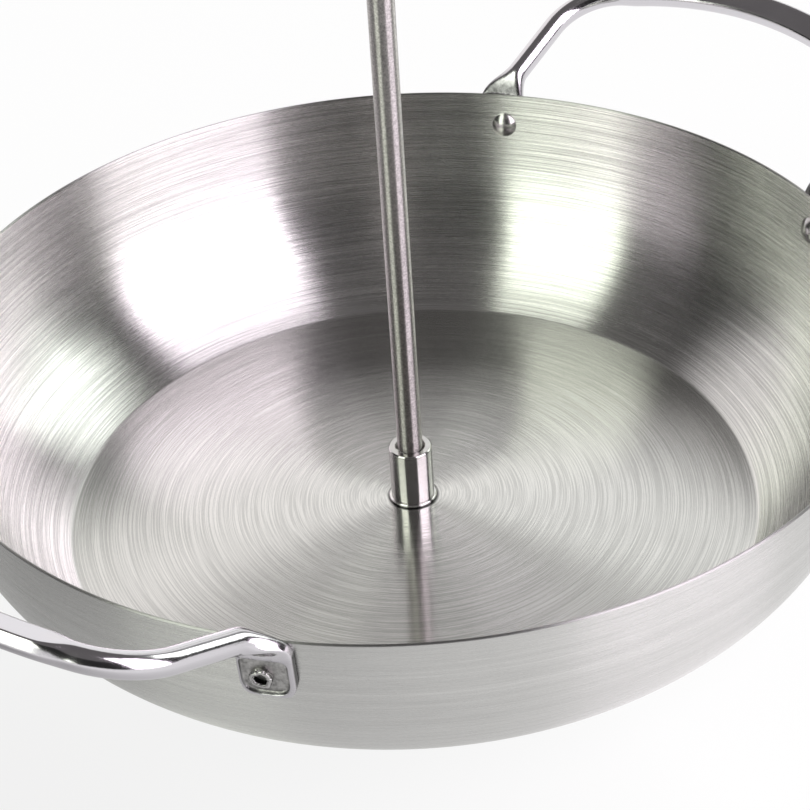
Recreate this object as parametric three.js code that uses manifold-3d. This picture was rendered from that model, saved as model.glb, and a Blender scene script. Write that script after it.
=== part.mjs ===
// Barbecue skewer pan: a round brushed steel pan with two riveted loop handles and, in the
// middle of its base, a socket that a vertical skewer screws into.
// Millimetres and degrees, +Z up. The origin is on the surface the pan stands on, under its
// centre. The handles lie along X.

import * as THREE from 'three';
import { mergeVertices } from 'three/addons/utils/BufferGeometryUtils.js';
import Module from 'manifold-3d';

const wasm = await Module();
wasm.setup();

// Gaps between pieces
const seatGap = 0.3;
const threadGap = 0.3;

// Pan shell: the base turns up through a corner into a wall that bulges to the rim
const rimRadius = 150;
const panHeight = 70;
const sheet = 1;
const baseRadius = 111.5;
const baseCornerRadius = 6;
const footAngle = 31;
const rimAngle = 86;
const footReach = 34;
const rimReach = 31;
const standingRingWidth = 14;
const centreFlatMargin = 1.2;

// Handles
const handleSpacing = 130;
const handleTilt = 23;
const handleReach = 61.5;
const handleBendRadius = 23.5;
const gripBowRadius = 120;
const legRise = 3;
const legOffset = 3.4;
const neckBend = 6;
const neckCornerBack = 1;
const barRadius = 3.7;
const gripHalfWidth = 4.8;
const gripHalfThickness = 3.2;
const gripBlendLength = 10;

// Lugs that carry the handles on the wall
const lugHalfWidth = 7.8;
const lugShift = 1.2;
const lugThickness = 3.2;
const lugBelowRivet = 7.5;
const lugAboveRivet = 7.4;
const lugTipHalfWidth = 4.2;
const lugTipLength = 5;
const lugSeatDepth = 1;
const lugRecessDepth = 1.1;
const lugOuterRim = 1.8;
const lugInnerRim = 0.9;
const lugTopRim = 2.2;
const lugRecessCorner = 1.4;

// Rivets
const rivetBelowRim = 11.4;
const rivetShankRadius = 2.5;
const rivetHeadRadius = 4.5;
const rivetHeadHeight = 2.2;
const rivetTailRadius = 3.3;
const rivetTailHeight = 1.8;
const rivetTailLip = 0.6;
const rivetBoreRadius = 1.7;
const rivetBoreDepth = 2.6;
const rivetBoreFlare = 0.3;

// Skewer and the stud in its lower end
const rodRadius = 4;
const rodChamfer = 0.5;
const skewerReach = 250;
const pointLength = 22;
const pointRadius = 0.6;
const studShoulder = 1;
const studLength = 11;
const studInRod = 8;
const studChamfer = 0.7;

// Socket in the middle of the base
const socketRadius = 7;
const socketTopAboveBase = 20;
const socketBevel = 0.4;
const socketMouthMargin = 0.9;
const socketBoreFloor = 0.6;
const socketWeb = 1.6;
const seatRingLip = 0.8;
const seatRingHeight = 1.2;

// Screw that holds the socket from below
const screwRadius = 2.5;
const screwHeadRadius = 5.4;
const screwHeadHeight = 0.9;
const screwHeadLift = 0.2;
const screwBevel = 0.5;
const washerRadius = 6;
const washerHeight = 0.4;

// Exponents of the oval sections: 2 is a true ellipse, and a higher one is squarer
const roundSection = 2;
const lugSection = 5;
const gripTopSection = 7;
const gripUnderSection = 2.4;
const recessSection = 12;

// Facets and rings
const panSides = 60;
const turnedSides = 28;
const smallSides = 16;
const handleSides = 18;
const crownSteps = 5;
const cornerSteps = 3;
const wallSteps = 10;
const lugSteps = 6;
const lugTipSpacing = 1.7;
const neckSteps = 6;
const bendSteps = 6;
const gripSteps = 7;
const domeSteps = 5;
const beadSteps = 6;
const tipSteps = 3;
const lipSteps = 2;

// Sizes that follow from the ones above
const studRadius = rodRadius - studShoulder;
const socketMouthRadius = rodRadius + socketMouthMargin;
const seatRingRadius = socketRadius + seatRingLip;
const centreFlatRadius = Math.max(seatRingRadius, washerRadius) + centreFlatMargin;
const baseCrown = washerHeight + screwHeadHeight + screwHeadLift;
const baseTop = baseCrown + sheet;

const radians = THREE.MathUtils.degToRad;
const degrees = THREE.MathUtils.radToDeg;
const { clamp, lerp, smoothstep } = THREE.MathUtils;

// Steels
const brushedSteel = { color: 0xb4b3b0, roughness: 0.32, metalness: 1 };
const polishedSteel = { color: 0xd2d2d4, roughness: 0.12, metalness: 1 };
const castSteel = { color: 0xc6c7c8, roughness: 0.18, metalness: 1 };
const turnedSteel = { color: 0xa9a8a4, roughness: 0.3, metalness: 1 };

// Corners closer than this are one corner.
const mergeDistance = 1e-4;

// A mesh with shared corners and nothing but places.
function merged(geometry) {
  const bare = geometry.clone();
  bare.deleteAttribute('normal');
  bare.deleteAttribute('uv');
  return mergeVertices(bare, mergeDistance);
}

// The volume under each face, added up, is negative on a mesh whose faces point in.
function facesPointIn(geometry) {
  const place = geometry.attributes.position;
  const corners = geometry.index.array;
  const a = new THREE.Vector3();
  const b = new THREE.Vector3();
  const c = new THREE.Vector3();
  let volume = 0;
  for (let i = 0; i < corners.length; i += 3) {
    a.fromBufferAttribute(place, corners[i]);
    b.fromBufferAttribute(place, corners[i + 1]);
    c.fromBufferAttribute(place, corners[i + 2]);
    volume += a.dot(b.cross(c));
  }
  return volume < 0;
}

// The same mesh without the faces that merging left as a line, and with its faces outwards.
function closed(geometry) {
  const mesh = merged(geometry);
  const kept = [];
  const corners = mesh.index.array;
  for (let i = 0; i < corners.length; i += 3) {
    const [a, b, c] = [corners[i], corners[i + 1], corners[i + 2]];
    if (a !== b && b !== c && c !== a) kept.push(a, b, c);
  }
  mesh.setIndex(kept);
  if (facesPointIn(mesh)) mesh.setIndex([...kept].reverse());
  return mesh;
}

function solidOf(geometry) {
  const mesh = closed(geometry);
  return new wasm.Manifold(new wasm.Mesh({
    numProp: 3,
    vertProperties: new Float32Array(mesh.attributes.position.array),
    triVerts: new Uint32Array(mesh.index.array),
  }));
}

function geometryOf(solid) {
  const mesh = solid.getMesh();
  const geometry = new THREE.BufferGeometry();
  geometry.setAttribute('position', new THREE.BufferAttribute(mesh.vertProperties, 3));
  geometry.setIndex(new THREE.BufferAttribute(mesh.triVerts, 1));
  return geometry;
}

// A profile of [radius, height] pairs turned round the Z axis.
function turned(profile, sides) {
  const points = profile.map(([radius, height]) => new THREE.Vector2(radius, height));
  return closed(new THREE.LatheGeometry(points, sides).rotateX(Math.PI / 2));
}

// Points of an arc in the [radius, height] plane, both ends included.
function arc(centre, radius, from, to, steps) {
  return Array.from({ length: steps + 1 }, (unused, i) => {
    const angle = radians(lerp(from, to, i / steps));
    return [centre[0] + radius * Math.cos(angle), centre[1] + radius * Math.sin(angle)];
  });
}

function closedProfile(points) {
  return [...points, points[0]];
}

// The same points with the first, or the last, set exactly on the axis.
function fromAxis(points) {
  return [[0, points[0][1]], ...points.slice(1)];
}

function toAxis(points) {
  return [...points.slice(0, -1), [0, points[points.length - 1][1]]];
}

// Base and wall of the pan, seen in section. Stations run outwards and up along the inside
// face: each has its place and the direction of the sheet there.

const cornerTangent = baseCornerRadius * Math.tan(radians(footAngle) / 2);
const flatEnd = baseRadius - cornerTangent;
const flatStart = flatEnd - standingRingWidth;
const rimInside = rimRadius - sheet * Math.sin(radians(rimAngle));
const footSlope = new THREE.Vector2(Math.cos(radians(footAngle)), Math.sin(radians(footAngle)));
const rimSlope = new THREE.Vector2(Math.cos(radians(rimAngle)), Math.sin(radians(rimAngle)));
const footCorner = new THREE.Vector2(baseRadius, sheet);
const rimPoint = new THREE.Vector2(rimInside, panHeight);

const wallCurve = new THREE.CubicBezierCurve(
  footCorner.clone().addScaledVector(footSlope, cornerTangent),
  footCorner.clone().addScaledVector(footSlope, cornerTangent + footReach),
  rimPoint.clone().addScaledVector(rimSlope, -rimReach),
  rimPoint,
);

// The base rises to its middle in half a cosine wave, so that only its outer ring stands.
function crownHeight(radius) {
  const share = clamp((radius - centreFlatRadius) / (flatStart - centreFlatRadius), 0, 1);
  return baseCrown * (1 + Math.cos(Math.PI * share)) / 2;
}

function baseStations(holeRadius) {
  const radii = [holeRadius];
  for (let i = 0; i <= crownSteps; i += 1) radii.push(lerp(centreFlatRadius, flatStart, i / crownSteps));
  return radii.map((radius) => ({
    place: new THREE.Vector2(radius, sheet + crownHeight(radius)),
    along: new THREE.Vector2(1, 0),
  }));
}

function cornerStations() {
  return Array.from({ length: cornerSteps }, (unused, i) => {
    const turn = radians(footAngle) * i / cornerSteps;
    return {
      place: new THREE.Vector2(
        flatEnd + baseCornerRadius * Math.sin(turn),
        sheet + baseCornerRadius * (1 - Math.cos(turn)),
      ),
      along: new THREE.Vector2(Math.cos(turn), Math.sin(turn)),
    };
  });
}

function wallStations() {
  return Array.from({ length: wallSteps + 1 }, (unused, i) => ({
    place: wallCurve.getPoint(i / wallSteps),
    along: wallCurve.getTangent(i / wallSteps),
  }));
}

// Points at a distance outside the inner face, measured square to the sheet.
function outside(stations, distance) {
  return stations.map(({ place, along }) => [
    place.x + along.y * distance,
    place.y - along.x * distance,
  ]);
}

// The inside of the wall at a height, found by halving: its radius and the sheet's direction.
function wallAt(height) {
  const halvings = 40;
  let low = 0;
  let high = 1;
  for (let i = 0; i < halvings; i += 1) {
    const middle = (low + high) / 2;
    if (wallCurve.getPoint(middle).y < height) low = middle;
    else high = middle;
  }
  return { place: wallCurve.getPoint(low), along: wallCurve.getTangent(low) };
}

// Where the lugs and rivets stand round the pan, as an angle from the handle's own axis.
const lugAzimuth = Math.asin(handleSpacing / 2 / rimRadius);
const rivetHeight = panHeight - rivetBelowRim;
const lugBottom = rivetHeight - lugBelowRivet;
const lugTop = rivetHeight + lugAboveRivet;
const screwHoleRadius = screwRadius + seatGap;
const rivetHoleRadius = rivetShankRadius + seatGap;
const wallOuter = sheet + seatGap;
const recessFloor = wallOuter + lugThickness - lugRecessDepth;

// How far the wall bends inwards, in section, from its tangent at a height within a reach.
function sectionInset(height, reach) {
  const { place, along } = wallAt(height);
  const insets = [-reach, reach].map((step) => {
    const away = wallAt(height + step * along.y).place.sub(place);
    return away.y * along.x - away.x * along.y;
  });
  return Math.max(0, ...insets);
}

// How far the wall's flat facets and its two curves stand inwards of a rivet's flat head.
const facetInset = rimRadius * (1 - Math.cos(Math.PI / panSides));
const curveInset = rivetHeadRadius ** 2 / (2 * rimRadius);
const facetLength = wallCurve.getLength() / wallSteps;
const wallInset = facetInset + curveInset + sectionInset(rivetHeight, rivetHeadRadius + facetLength / 2);

// Along the rim at a lug, away from the grip.
function sidewaysAt(side) {
  const azimuth = side * lugAzimuth;
  return new THREE.Vector3(-Math.sin(azimuth), Math.cos(azimuth), 0).multiplyScalar(side);
}

// A point and the outward direction of the wall there, for one lug of the handle on +X.
function onWall(height, side, distance) {
  const { place, along } = wallAt(height);
  const azimuth = side * lugAzimuth;
  const outward = new THREE.Vector3(along.y * Math.cos(azimuth), along.y * Math.sin(azimuth), -along.x);
  const point = new THREE.Vector3(place.x * Math.cos(azimuth), place.x * Math.sin(azimuth), place.y);
  return { point: point.addScaledVector(outward, distance), outward };
}

// The rivet's own frame: its axis is Z, out of the pan, and zero is the inside of the wall.
function rivetFrame(side, turn) {
  const { point, outward } = onWall(rivetHeight, side, 0);
  const facing = new THREE.Quaternion().setFromUnitVectors(new THREE.Vector3(0, 0, 1), outward);
  const frame = new THREE.Matrix4().compose(point, facing, new THREE.Vector3(1, 1, 1));
  return frame.premultiply(new THREE.Matrix4().makeRotationZ(turn));
}

// A rivet hole's cutter reaches well past the wall and the lug on both sides.
function rivetHoleCutter(side, turn) {
  const reach = 2 * (wallOuter + lugThickness + wallInset) + rivetHeadRadius;
  const hole = new THREE.CylinderGeometry(rivetHoleRadius, rivetHoleRadius, 2 * reach, smallSides);
  return solidOf(hole.rotateX(Math.PI / 2).applyMatrix4(rivetFrame(side, turn)));
}

function panShell() {
  const stations = [...baseStations(screwHoleRadius), ...cornerStations(), ...wallStations()];
  const outer = outside(stations, sheet);
  const inner = outside(stations, 0);
  outer[outer.length - 1][1] = panHeight;
  let shell = solidOf(turned(closedProfile([...inner, ...outer.reverse()]), panSides));
  for (const turn of [0, Math.PI]) {
    for (const side of [-1, 1]) shell = shell.subtract(rivetHoleCutter(side, turn));
  }
  return geometryOf(shell);
}

// Everything inside the wall's outer face and a gap round it, for seating the lugs.
function panEnvelope() {
  const wall = outside(wallStations(), wallOuter);
  wall[wall.length - 1][1] = panHeight + seatGap;
  const profile = [[0, wall[0][1]], ...wall, [0, panHeight + seatGap]];
  return solidOf(turned(profile, panSides));
}

// Handle: a loft of rings along its bar. A ring has a centre, a face direction, a half width
// across the bar, a half thickness along the face direction and the sections of its two faces.

const tilt = radians(handleTilt);
const outAndUp = new THREE.Vector3(Math.cos(tilt), 0, Math.sin(tilt));
const handleFace = new THREE.Vector3(-Math.sin(tilt), 0, Math.cos(tilt));
const legStart = new THREE.Vector3(rimRadius * Math.cos(lugAzimuth) + legOffset, 0, panHeight + legRise);

function inHandlePlane(across, out) {
  return new THREE.Vector3(0, across, 0).add(legStart).addScaledVector(outAndUp, out);
}

// The grip's bow meets the bend where both arcs share a tangent.
const legAcross = handleSpacing / 2;
const bendCentreAcross = legAcross - handleBendRadius;
const bowHalf = Math.asin(bendCentreAcross / (gripBowRadius - handleBendRadius));
const bowCentre = handleReach - gripBowRadius;
const bendCentreOut = bowCentre + (gripBowRadius - handleBendRadius) * Math.cos(bowHalf);

// Shares of a lug's height at which its rings stand, closer together at the rounded tip.
const lugShares = Array.from({ length: lugSteps + 1 }, (unused, i) => (i / lugSteps) ** lugTipSpacing);

// Half width of a lug's shield outline: an ellipse at the tip, and straight above it.
function lugOutline(height) {
  const share = clamp(1 - (height - lugBottom) / lugTipLength, 0, 1);
  return lerp(lugTipHalfWidth, lugHalfWidth, Math.sqrt(1 - share * share));
}

// A lug reaches further from its rivet on the side away from the grip.
function lugRings(side) {
  return lugShares.map((share) => {
    const height = lerp(lugBottom, lugTop, share);
    const { point, outward } = onWall(height, side, wallOuter + (lugThickness - lugSeatDepth) / 2);
    return {
      centre: point.addScaledVector(sidewaysAt(side), lugShift),
      face: outward.clone().negate(),
      halfWidth: lugOutline(height),
      halfThickness: (lugThickness + lugSeatDepth) / 2,
      topSection: lugSection,
      underSection: lugSection,
    };
  });
}

// The neck turns out of the lug into the leg and rounds its section on the way.
function neckRings(side, lug) {
  const corner = inHandlePlane(side * legAcross, -neckCornerBack);
  const end = inHandlePlane(side * legAcross, neckBend);
  const curve = new THREE.QuadraticBezierCurve3(lug.centre, corner, end);
  const rings = [];
  for (let i = 1; i <= neckSteps; i += 1) {
    const share = i / neckSteps;
    const ease = smoothstep(share, 0, 1);
    rings.push({
      centre: curve.getPoint(share),
      face: lug.face.clone().lerp(handleFace, share).normalize(),
      halfWidth: lerp(lug.halfWidth, barRadius, ease),
      halfThickness: lerp(lug.halfThickness, barRadius, ease),
      topSection: lerp(lug.topSection, roundSection, ease),
      underSection: lerp(lug.underSection, roundSection, ease),
    });
  }
  return rings;
}

function bendRings(side) {
  return Array.from({ length: bendSteps }, (unused, i) => {
    const turn = (Math.PI / 2 - bowHalf) * i / bendSteps;
    const across = bendCentreAcross + handleBendRadius * Math.cos(turn);
    return {
      centre: inHandlePlane(side * across, bendCentreOut + handleBendRadius * Math.sin(turn)),
      face: handleFace.clone(),
      halfWidth: barRadius,
      halfThickness: barRadius,
      topSection: roundSection,
      underSection: roundSection,
    };
  });
}

// The grip widens and its upper face goes flat over the blend length.
function gripRings(side) {
  return Array.from({ length: gripSteps + 1 }, (unused, i) => {
    const turn = bowHalf * (1 - i / gripSteps);
    const walked = (bowHalf - turn) * gripBowRadius;
    const ease = smoothstep(walked, 0, gripBlendLength);
    return {
      centre: inHandlePlane(side * gripBowRadius * Math.sin(turn), bowCentre + gripBowRadius * Math.cos(turn)),
      face: handleFace.clone(),
      halfWidth: lerp(barRadius, gripHalfWidth, ease),
      halfThickness: lerp(barRadius, gripHalfThickness, ease),
      topSection: lerp(roundSection, gripTopSection, ease),
      underSection: lerp(roundSection, gripUnderSection, ease),
    };
  });
}

function handleRings() {
  const halfOf = (side) => {
    const lug = lugRings(side);
    const neck = neckRings(side, lug[lug.length - 1]);
    return [...lug, ...neck, ...bendRings(side), ...gripRings(side)];
  };
  return [...halfOf(-1), ...halfOf(1).reverse().slice(1)];
}

// One corner of a ring: an oval drawn square to the bar, squarer where its exponent is higher.
function ringPoint(ring, along, angle) {
  const across = new THREE.Vector3().crossVectors(along, ring.face).normalize();
  const up = new THREE.Vector3().crossVectors(across, along).normalize();
  const cosine = Math.cos(angle);
  const sine = Math.sin(angle);
  const power = 2 / (sine >= 0 ? ring.topSection : ring.underSection);
  const x = ring.halfWidth * Math.sign(cosine) * Math.abs(cosine) ** power;
  const y = ring.halfThickness * Math.sign(sine) * Math.abs(sine) ** power;
  return ring.centre.clone().addScaledVector(across, x).addScaledVector(up, y);
}

// A skin over rings, with a flat cap on each end.
function lofted(rings, sides) {
  const positions = [];
  const corners = [];
  rings.forEach((ring, i) => {
    const before = rings[Math.max(i - 1, 0)].centre;
    const after = rings[Math.min(i + 1, rings.length - 1)].centre;
    const along = new THREE.Vector3().subVectors(after, before).normalize();
    for (let j = 0; j < sides; j += 1) {
      positions.push(...ringPoint(ring, along, 2 * Math.PI * (j + 0.5) / sides).toArray());
    }
  });
  for (let i = 0; i < rings.length - 1; i += 1) {
    for (let j = 0; j < sides; j += 1) {
      const a = i * sides + j;
      const b = i * sides + (j + 1) % sides;
      corners.push(a, b, b + sides, a, b + sides, a + sides);
    }
  }
  const last = (rings.length - 1) * sides;
  for (let j = 1; j < sides - 1; j += 1) {
    corners.push(0, j + 1, j);
    corners.push(last, last + j, last + j + 1);
  }
  const geometry = new THREE.BufferGeometry();
  geometry.setAttribute('position', new THREE.Float32BufferAttribute(positions, 3));
  geometry.setIndex(corners);
  return geometry;
}

// The recess in a lug's outer face leaves a raised rim, wider on the side away from the grip.
function lugRecess(side) {
  const bottom = lugBottom + lugInnerRim;
  const top = lugTop - lugTopRim;
  const shift = lugShift + (lugInnerRim - lugOuterRim) / 2;
  const halfThickness = lugThickness + seatGap;
  const rings = lugShares.map((share) => {
    const height = lerp(bottom, top, share);
    const { point, outward } = onWall(height, side, recessFloor + halfThickness);
    const corner = share < 1 ? 0 : lugRecessCorner;
    return {
      centre: point.addScaledVector(sidewaysAt(side), shift),
      face: outward.clone().negate(),
      halfWidth: lugOutline(height - lugInnerRim) - (lugOuterRim + lugInnerRim) / 2 - corner,
      halfThickness,
      topSection: recessSection,
      underSection: recessSection,
    };
  });
  return solidOf(lofted(rings, handleSides));
}

function handle() {
  let body = solidOf(lofted(handleRings(), handleSides)).subtract(panEnvelope());
  for (const side of [-1, 1]) {
    body = body.subtract(lugRecess(side)).subtract(rivetHoleCutter(side, 0));
  }
  return geometryOf(body);
}

// Rivet: a domed head inside the pan, a shank, and a hollow tail crimped over the lug.
function rivet() {
  const tailFoot = recessFloor + seatGap;
  const tailTop = recessFloor + rivetTailHeight;
  const domeRadius = (rivetHeadRadius ** 2 + rivetHeadHeight ** 2) / (2 * rivetHeadHeight);
  const domeAngle = degrees(Math.asin(rivetHeadRadius / domeRadius));
  const headFoot = -seatGap - wallInset;
  const domeCentre = [0, headFoot - rivetHeadHeight + domeRadius];
  const lipCentre = [rivetTailRadius - rivetTailLip, tailTop - rivetTailLip];
  return turned([
    ...fromAxis(arc(domeCentre, domeRadius, -90, domeAngle - 90, domeSteps)),
    [rivetShankRadius, headFoot],
    [rivetShankRadius, tailFoot],
    [rivetTailRadius, tailFoot],
    ...arc(lipCentre, rivetTailLip, 0, 90, lipSteps),
    [rivetBoreRadius + rivetBoreFlare, tailTop],
    [rivetBoreRadius, tailTop - rivetBoreFlare],
    [rivetBoreRadius, tailTop - rivetBoreDepth],
    [0, tailTop - rivetBoreDepth],
  ], smallSides);
}

// Heights in the stack at the centre of the base. The skewer's chamfered end sits in the
// socket's conical mouth, and the screw from below takes what the stud and the web leave.
const socketFoot = baseTop + seatRingHeight;
const socketTop = baseTop + socketTopAboveBase;
const mouthDepth = socketMouthRadius - studRadius;
const shoulderDepth = socketMouthMargin - seatGap * Math.SQRT2 + rodChamfer;
const shoulder = socketTop - shoulderDepth;
const studFoot = shoulder - studLength;
const studTop = shoulder + studInRod;
const threadHoleFloor = studFoot - socketBoreFloor;
const screwHoleTop = threadHoleFloor - socketWeb;
const screwEnd = screwHoleTop - socketBoreFloor;

function seatRing() {
  const edge = seatRingHeight / 2;
  return turned(closedProfile([
    [screwHoleRadius, baseTop],
    ...arc([seatRingRadius - edge, baseTop + edge], edge, -90, 90, beadSteps),
    [screwHoleRadius, socketFoot],
  ]), turnedSides);
}

// The socket is bored from below for its screw and from above for the skewer's stud.
function socket() {
  return turned([
    [0, screwHoleTop],
    [screwRadius, screwHoleTop],
    [screwRadius, socketFoot],
    [socketRadius, socketFoot],
    [socketRadius, socketTop - socketBevel],
    [socketRadius - socketBevel, socketTop],
    [socketMouthRadius, socketTop],
    [studRadius, socketTop - mouthDepth],
    [studRadius, threadHoleFloor],
    [0, threadHoleFloor],
  ], turnedSides);
}

function lockWasher() {
  return turned(closedProfile([
    [screwHoleRadius, baseCrown - washerHeight],
    [washerRadius, baseCrown - washerHeight],
    [washerRadius, baseCrown],
    [screwHoleRadius, baseCrown],
  ]), turnedSides);
}

function socketScrew() {
  const headTop = baseCrown - washerHeight;
  const headFoot = headTop - screwHeadHeight;
  const shank = screwRadius - threadGap;
  return turned([
    [0, headFoot],
    [screwHeadRadius - screwBevel, headFoot],
    [screwHeadRadius, headFoot + screwBevel],
    [screwHeadRadius, headTop],
    [shank, headTop],
    [shank, screwEnd - screwBevel],
    [shank - screwBevel, screwEnd],
    [0, screwEnd],
  ], turnedSides);
}

function skewerStud() {
  const solidRadius = studRadius - threadGap;
  return turned([
    [0, studFoot],
    [solidRadius - studChamfer, studFoot],
    [solidRadius, studFoot + studChamfer],
    [solidRadius, studTop],
    [0, studTop],
  ], turnedSides);
}

// The stud stands in a hole in the rod's end, a gap clear of it all round.
function skewerRod() {
  const holeRadius = studRadius - threadGap + seatGap;
  const tip = baseTop + skewerReach;
  const pointSlope = degrees(Math.atan((rodRadius - pointRadius) / pointLength));
  return turned([
    [0, studTop + seatGap],
    [holeRadius, studTop + seatGap],
    [holeRadius, shoulder],
    [rodRadius - rodChamfer, shoulder],
    [rodRadius, shoulder + rodChamfer],
    [rodRadius, tip - pointLength],
    ...toAxis(arc([0, tip - pointRadius], pointRadius, pointSlope, 90, tipSteps)),
  ], turnedSides);
}

const model = new THREE.Group();

function add(name, geometry, finish) {
  const mesh = new THREE.Mesh(geometry, new THREE.MeshStandardMaterial(finish));
  mesh.name = name;
  model.add(mesh);
  return mesh;
}

add('pan_shell', panShell(), brushedSteel);

const handleShape = handle();
const rivetShape = rivet();
for (const [end, turn] of [['right', 0], ['left', Math.PI]]) {
  add(`handle_${end}`, handleShape.clone(), castSteel).rotation.z = turn;
  for (const [place, side] of [['front', -1], ['back', 1]]) {
    add(`rivet_${end}_${place}`, rivetShape.clone(), polishedSteel).applyMatrix4(rivetFrame(side, turn));
  }
}

add('seat_ring', seatRing(), polishedSteel);
add('socket', socket(), polishedSteel);
add('lock_washer', lockWasher(), turnedSteel);
add('socket_screw', socketScrew(), turnedSteel);
add('skewer_stud', skewerStud(), turnedSteel);
add('skewer_rod', skewerRod(), polishedSteel);

export default model;
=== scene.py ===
"""Barbecue skewer pan: fine surfaces, steel finishes, stage, lamps and camera.

Metres, +Z up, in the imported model's own frame. The handles lie along X.
"""

import bpy
import numpy as np
from bpy.props import FloatProperty, FloatVectorProperty, PointerProperty
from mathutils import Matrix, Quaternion, Vector


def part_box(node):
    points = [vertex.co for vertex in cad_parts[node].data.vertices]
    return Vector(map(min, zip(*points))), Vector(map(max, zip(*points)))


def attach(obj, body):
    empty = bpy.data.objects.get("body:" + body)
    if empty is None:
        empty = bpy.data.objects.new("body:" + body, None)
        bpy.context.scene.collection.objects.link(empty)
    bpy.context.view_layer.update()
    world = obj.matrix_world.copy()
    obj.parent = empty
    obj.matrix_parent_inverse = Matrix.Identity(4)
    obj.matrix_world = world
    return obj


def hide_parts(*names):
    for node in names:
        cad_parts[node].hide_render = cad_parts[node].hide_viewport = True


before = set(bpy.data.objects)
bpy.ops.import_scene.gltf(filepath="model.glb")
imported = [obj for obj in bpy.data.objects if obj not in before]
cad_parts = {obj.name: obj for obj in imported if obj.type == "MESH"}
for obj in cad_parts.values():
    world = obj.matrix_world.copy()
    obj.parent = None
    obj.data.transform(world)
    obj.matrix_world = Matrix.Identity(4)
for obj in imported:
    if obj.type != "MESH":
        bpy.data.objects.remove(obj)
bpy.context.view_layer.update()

bl_info = {
    "name": "Barbecue skewer pan",
    "version": (1, 0, 0),
    "blender": (4, 5, 0),
    "location": "3D View > Sidebar > Skewer pan",
    "description": "Builds a brushed steel skewer pan with its stage, lamps and camera",
    "category": "Add Mesh",
}

MM = 0.001
TAU = 2 * np.pi
PAN_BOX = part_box("pan_shell")
LUG_GAP = 0.05 * MM
HEAD_GAP = 0.03 * MM
SCREW_PLAY = 0.6 * MM


# Sizes and colours

def length(name, description, millimetres):
    return FloatProperty(name=name, description=description, default=millimetres * MM,
                         min=0.0, precision=5, unit="LENGTH")


def angle(name, description, degrees):
    return FloatProperty(name=name, description=description, default=np.radians(degrees),
                         unit="ROTATION")


def colour(name, description, value):
    return FloatVectorProperty(name=name, description=description, default=value,
                               size=3, min=0.0, max=1.0, subtype="COLOR")


def amount(name, description, value, top=1.0):
    return FloatProperty(name=name, description=description, default=value,
                         min=0.0, max=top, subtype="FACTOR")


class PanSizes(bpy.types.PropertyGroup):
    """Sizes of the pan's sheet."""

    rim_radius: length("Rim radius", "Outside of the rim", PAN_BOX[1][0] / MM)
    height: length("Height", "From the surface it stands on to the rim", PAN_BOX[1][2] / MM)
    sheet: length("Sheet", "Thickness of the steel", 1.0)
    base_radius: length("Base radius", "Where base and wall would meet without a corner", 111.5)
    corner_radius: length("Corner radius", "Inside bend between base and wall", 3.0)
    foot_angle: angle("Foot angle", "Slope of the wall at its foot", 31.0)
    rim_angle: angle("Rim angle", "Slope of the wall at the rim", 86.0)
    foot_reach: length("Foot reach", "How far the wall keeps its foot slope", 34.0)
    rim_reach: length("Rim reach", "How far the wall keeps its rim slope", 31.0)
    ring_width: length("Standing ring", "Width of the flat ring it stands on", 14.0)
    centre_flat: length("Centre flat", "Radius of the flat under the socket", 9.0)
    crown: length("Crown", "Rise of the base to its middle", 1.5)
    hole_radius: length("Screw hole", "Radius of the hole in the middle", 2.8)


class HandleSizes(bpy.types.PropertyGroup):
    """Sizes of a cast loop handle."""

    spacing: length("Spacing", "Between the two rivets", 130.0)
    tilt: angle("Tilt", "Rise of the loop outwards", 23.0)
    reach: length("Reach", "From the wall to the middle of the grip", 61.4)
    bend_radius: length("Bend radius", "Corner between leg and grip", 23.5)
    bow_radius: length("Bow radius", "Bow of the grip seen from above", 120.0)
    leg_rise: length("Leg rise", "Height of the leg's start above the rim", 3.0)
    leg_offset: length("Leg offset", "Leg's start outside the rim", 3.4)
    neck_bend: length("Neck bend", "Length of the leg that the neck takes", 6.0)
    neck_back: length("Neck corner", "How far inwards the neck's corner stands", 1.0)
    bar_radius: length("Bar radius", "Round bar of the legs and bends", 3.7)
    grip_half_width: length("Grip half width", "Half the width of the flat grip", 4.8)
    grip_half_thickness: length("Grip half thickness", "Half the grip's thickness", 3.2)
    grip_blend: length("Grip blend", "Length over which the bar goes flat", 10.0)


class LugSizes(bpy.types.PropertyGroup):
    """Sizes of the shield that carries a handle's leg on the wall."""

    half_width: length("Half width", "Half the lug's width", 7.8)
    shift: length("Shift", "Lug's middle beyond the rivet, away from the grip", 1.2)
    thickness: length("Thickness", "How far it stands off the wall", 3.2)
    below: length("Below rivet", "From the rivet to the tip", 7.5)
    above: length("Above rivet", "From the rivet to the top", 7.4)
    tip_half_width: length("Tip half width", "Half width at the tip", 4.2)
    tip_length: length("Tip length", "Height of the rounded tip", 5.0)
    tip_round: length("Tip rounding", "Rounding of the tip's own edge", 1.3)
    recess: length("Recess", "Depth of the matt recess", 1.1)
    outer_rim: length("Outer rim", "Raised rim on the side away from the grip", 1.3)
    inner_rim: length("Inner rim", "Raised rim on the grip side and at the tip", 0.6)
    recess_top: length("Recess top", "From the rivet to the top of the recess", 6.6)
    recess_corner: length("Recess corner", "Rounding of the recess in plan", 2.2)
    recess_slope: length("Recess slope", "Width of the recess's sloping side", 0.7)


class RivetSizes(bpy.types.PropertyGroup):
    """Sizes of a semi-tubular rivet."""

    below_rim: length("Below rim", "From the rim down to the rivet", 11.4)
    shank_radius: length("Shank radius", "Radius through wall and lug", 2.5)
    head_radius: length("Head radius", "Domed head inside the pan", 4.5)
    head_height: length("Head height", "Height of the dome", 2.2)
    tail_radius: length("Tail radius", "Rolled end over the lug", 3.3)
    tail_height: length("Tail height", "Rolled end above the recess", 1.8)
    bore_radius: length("Bore radius", "Hollow of the tail", 1.7)
    bore_depth: length("Bore depth", "Depth of the hollow", 2.6)


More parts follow.
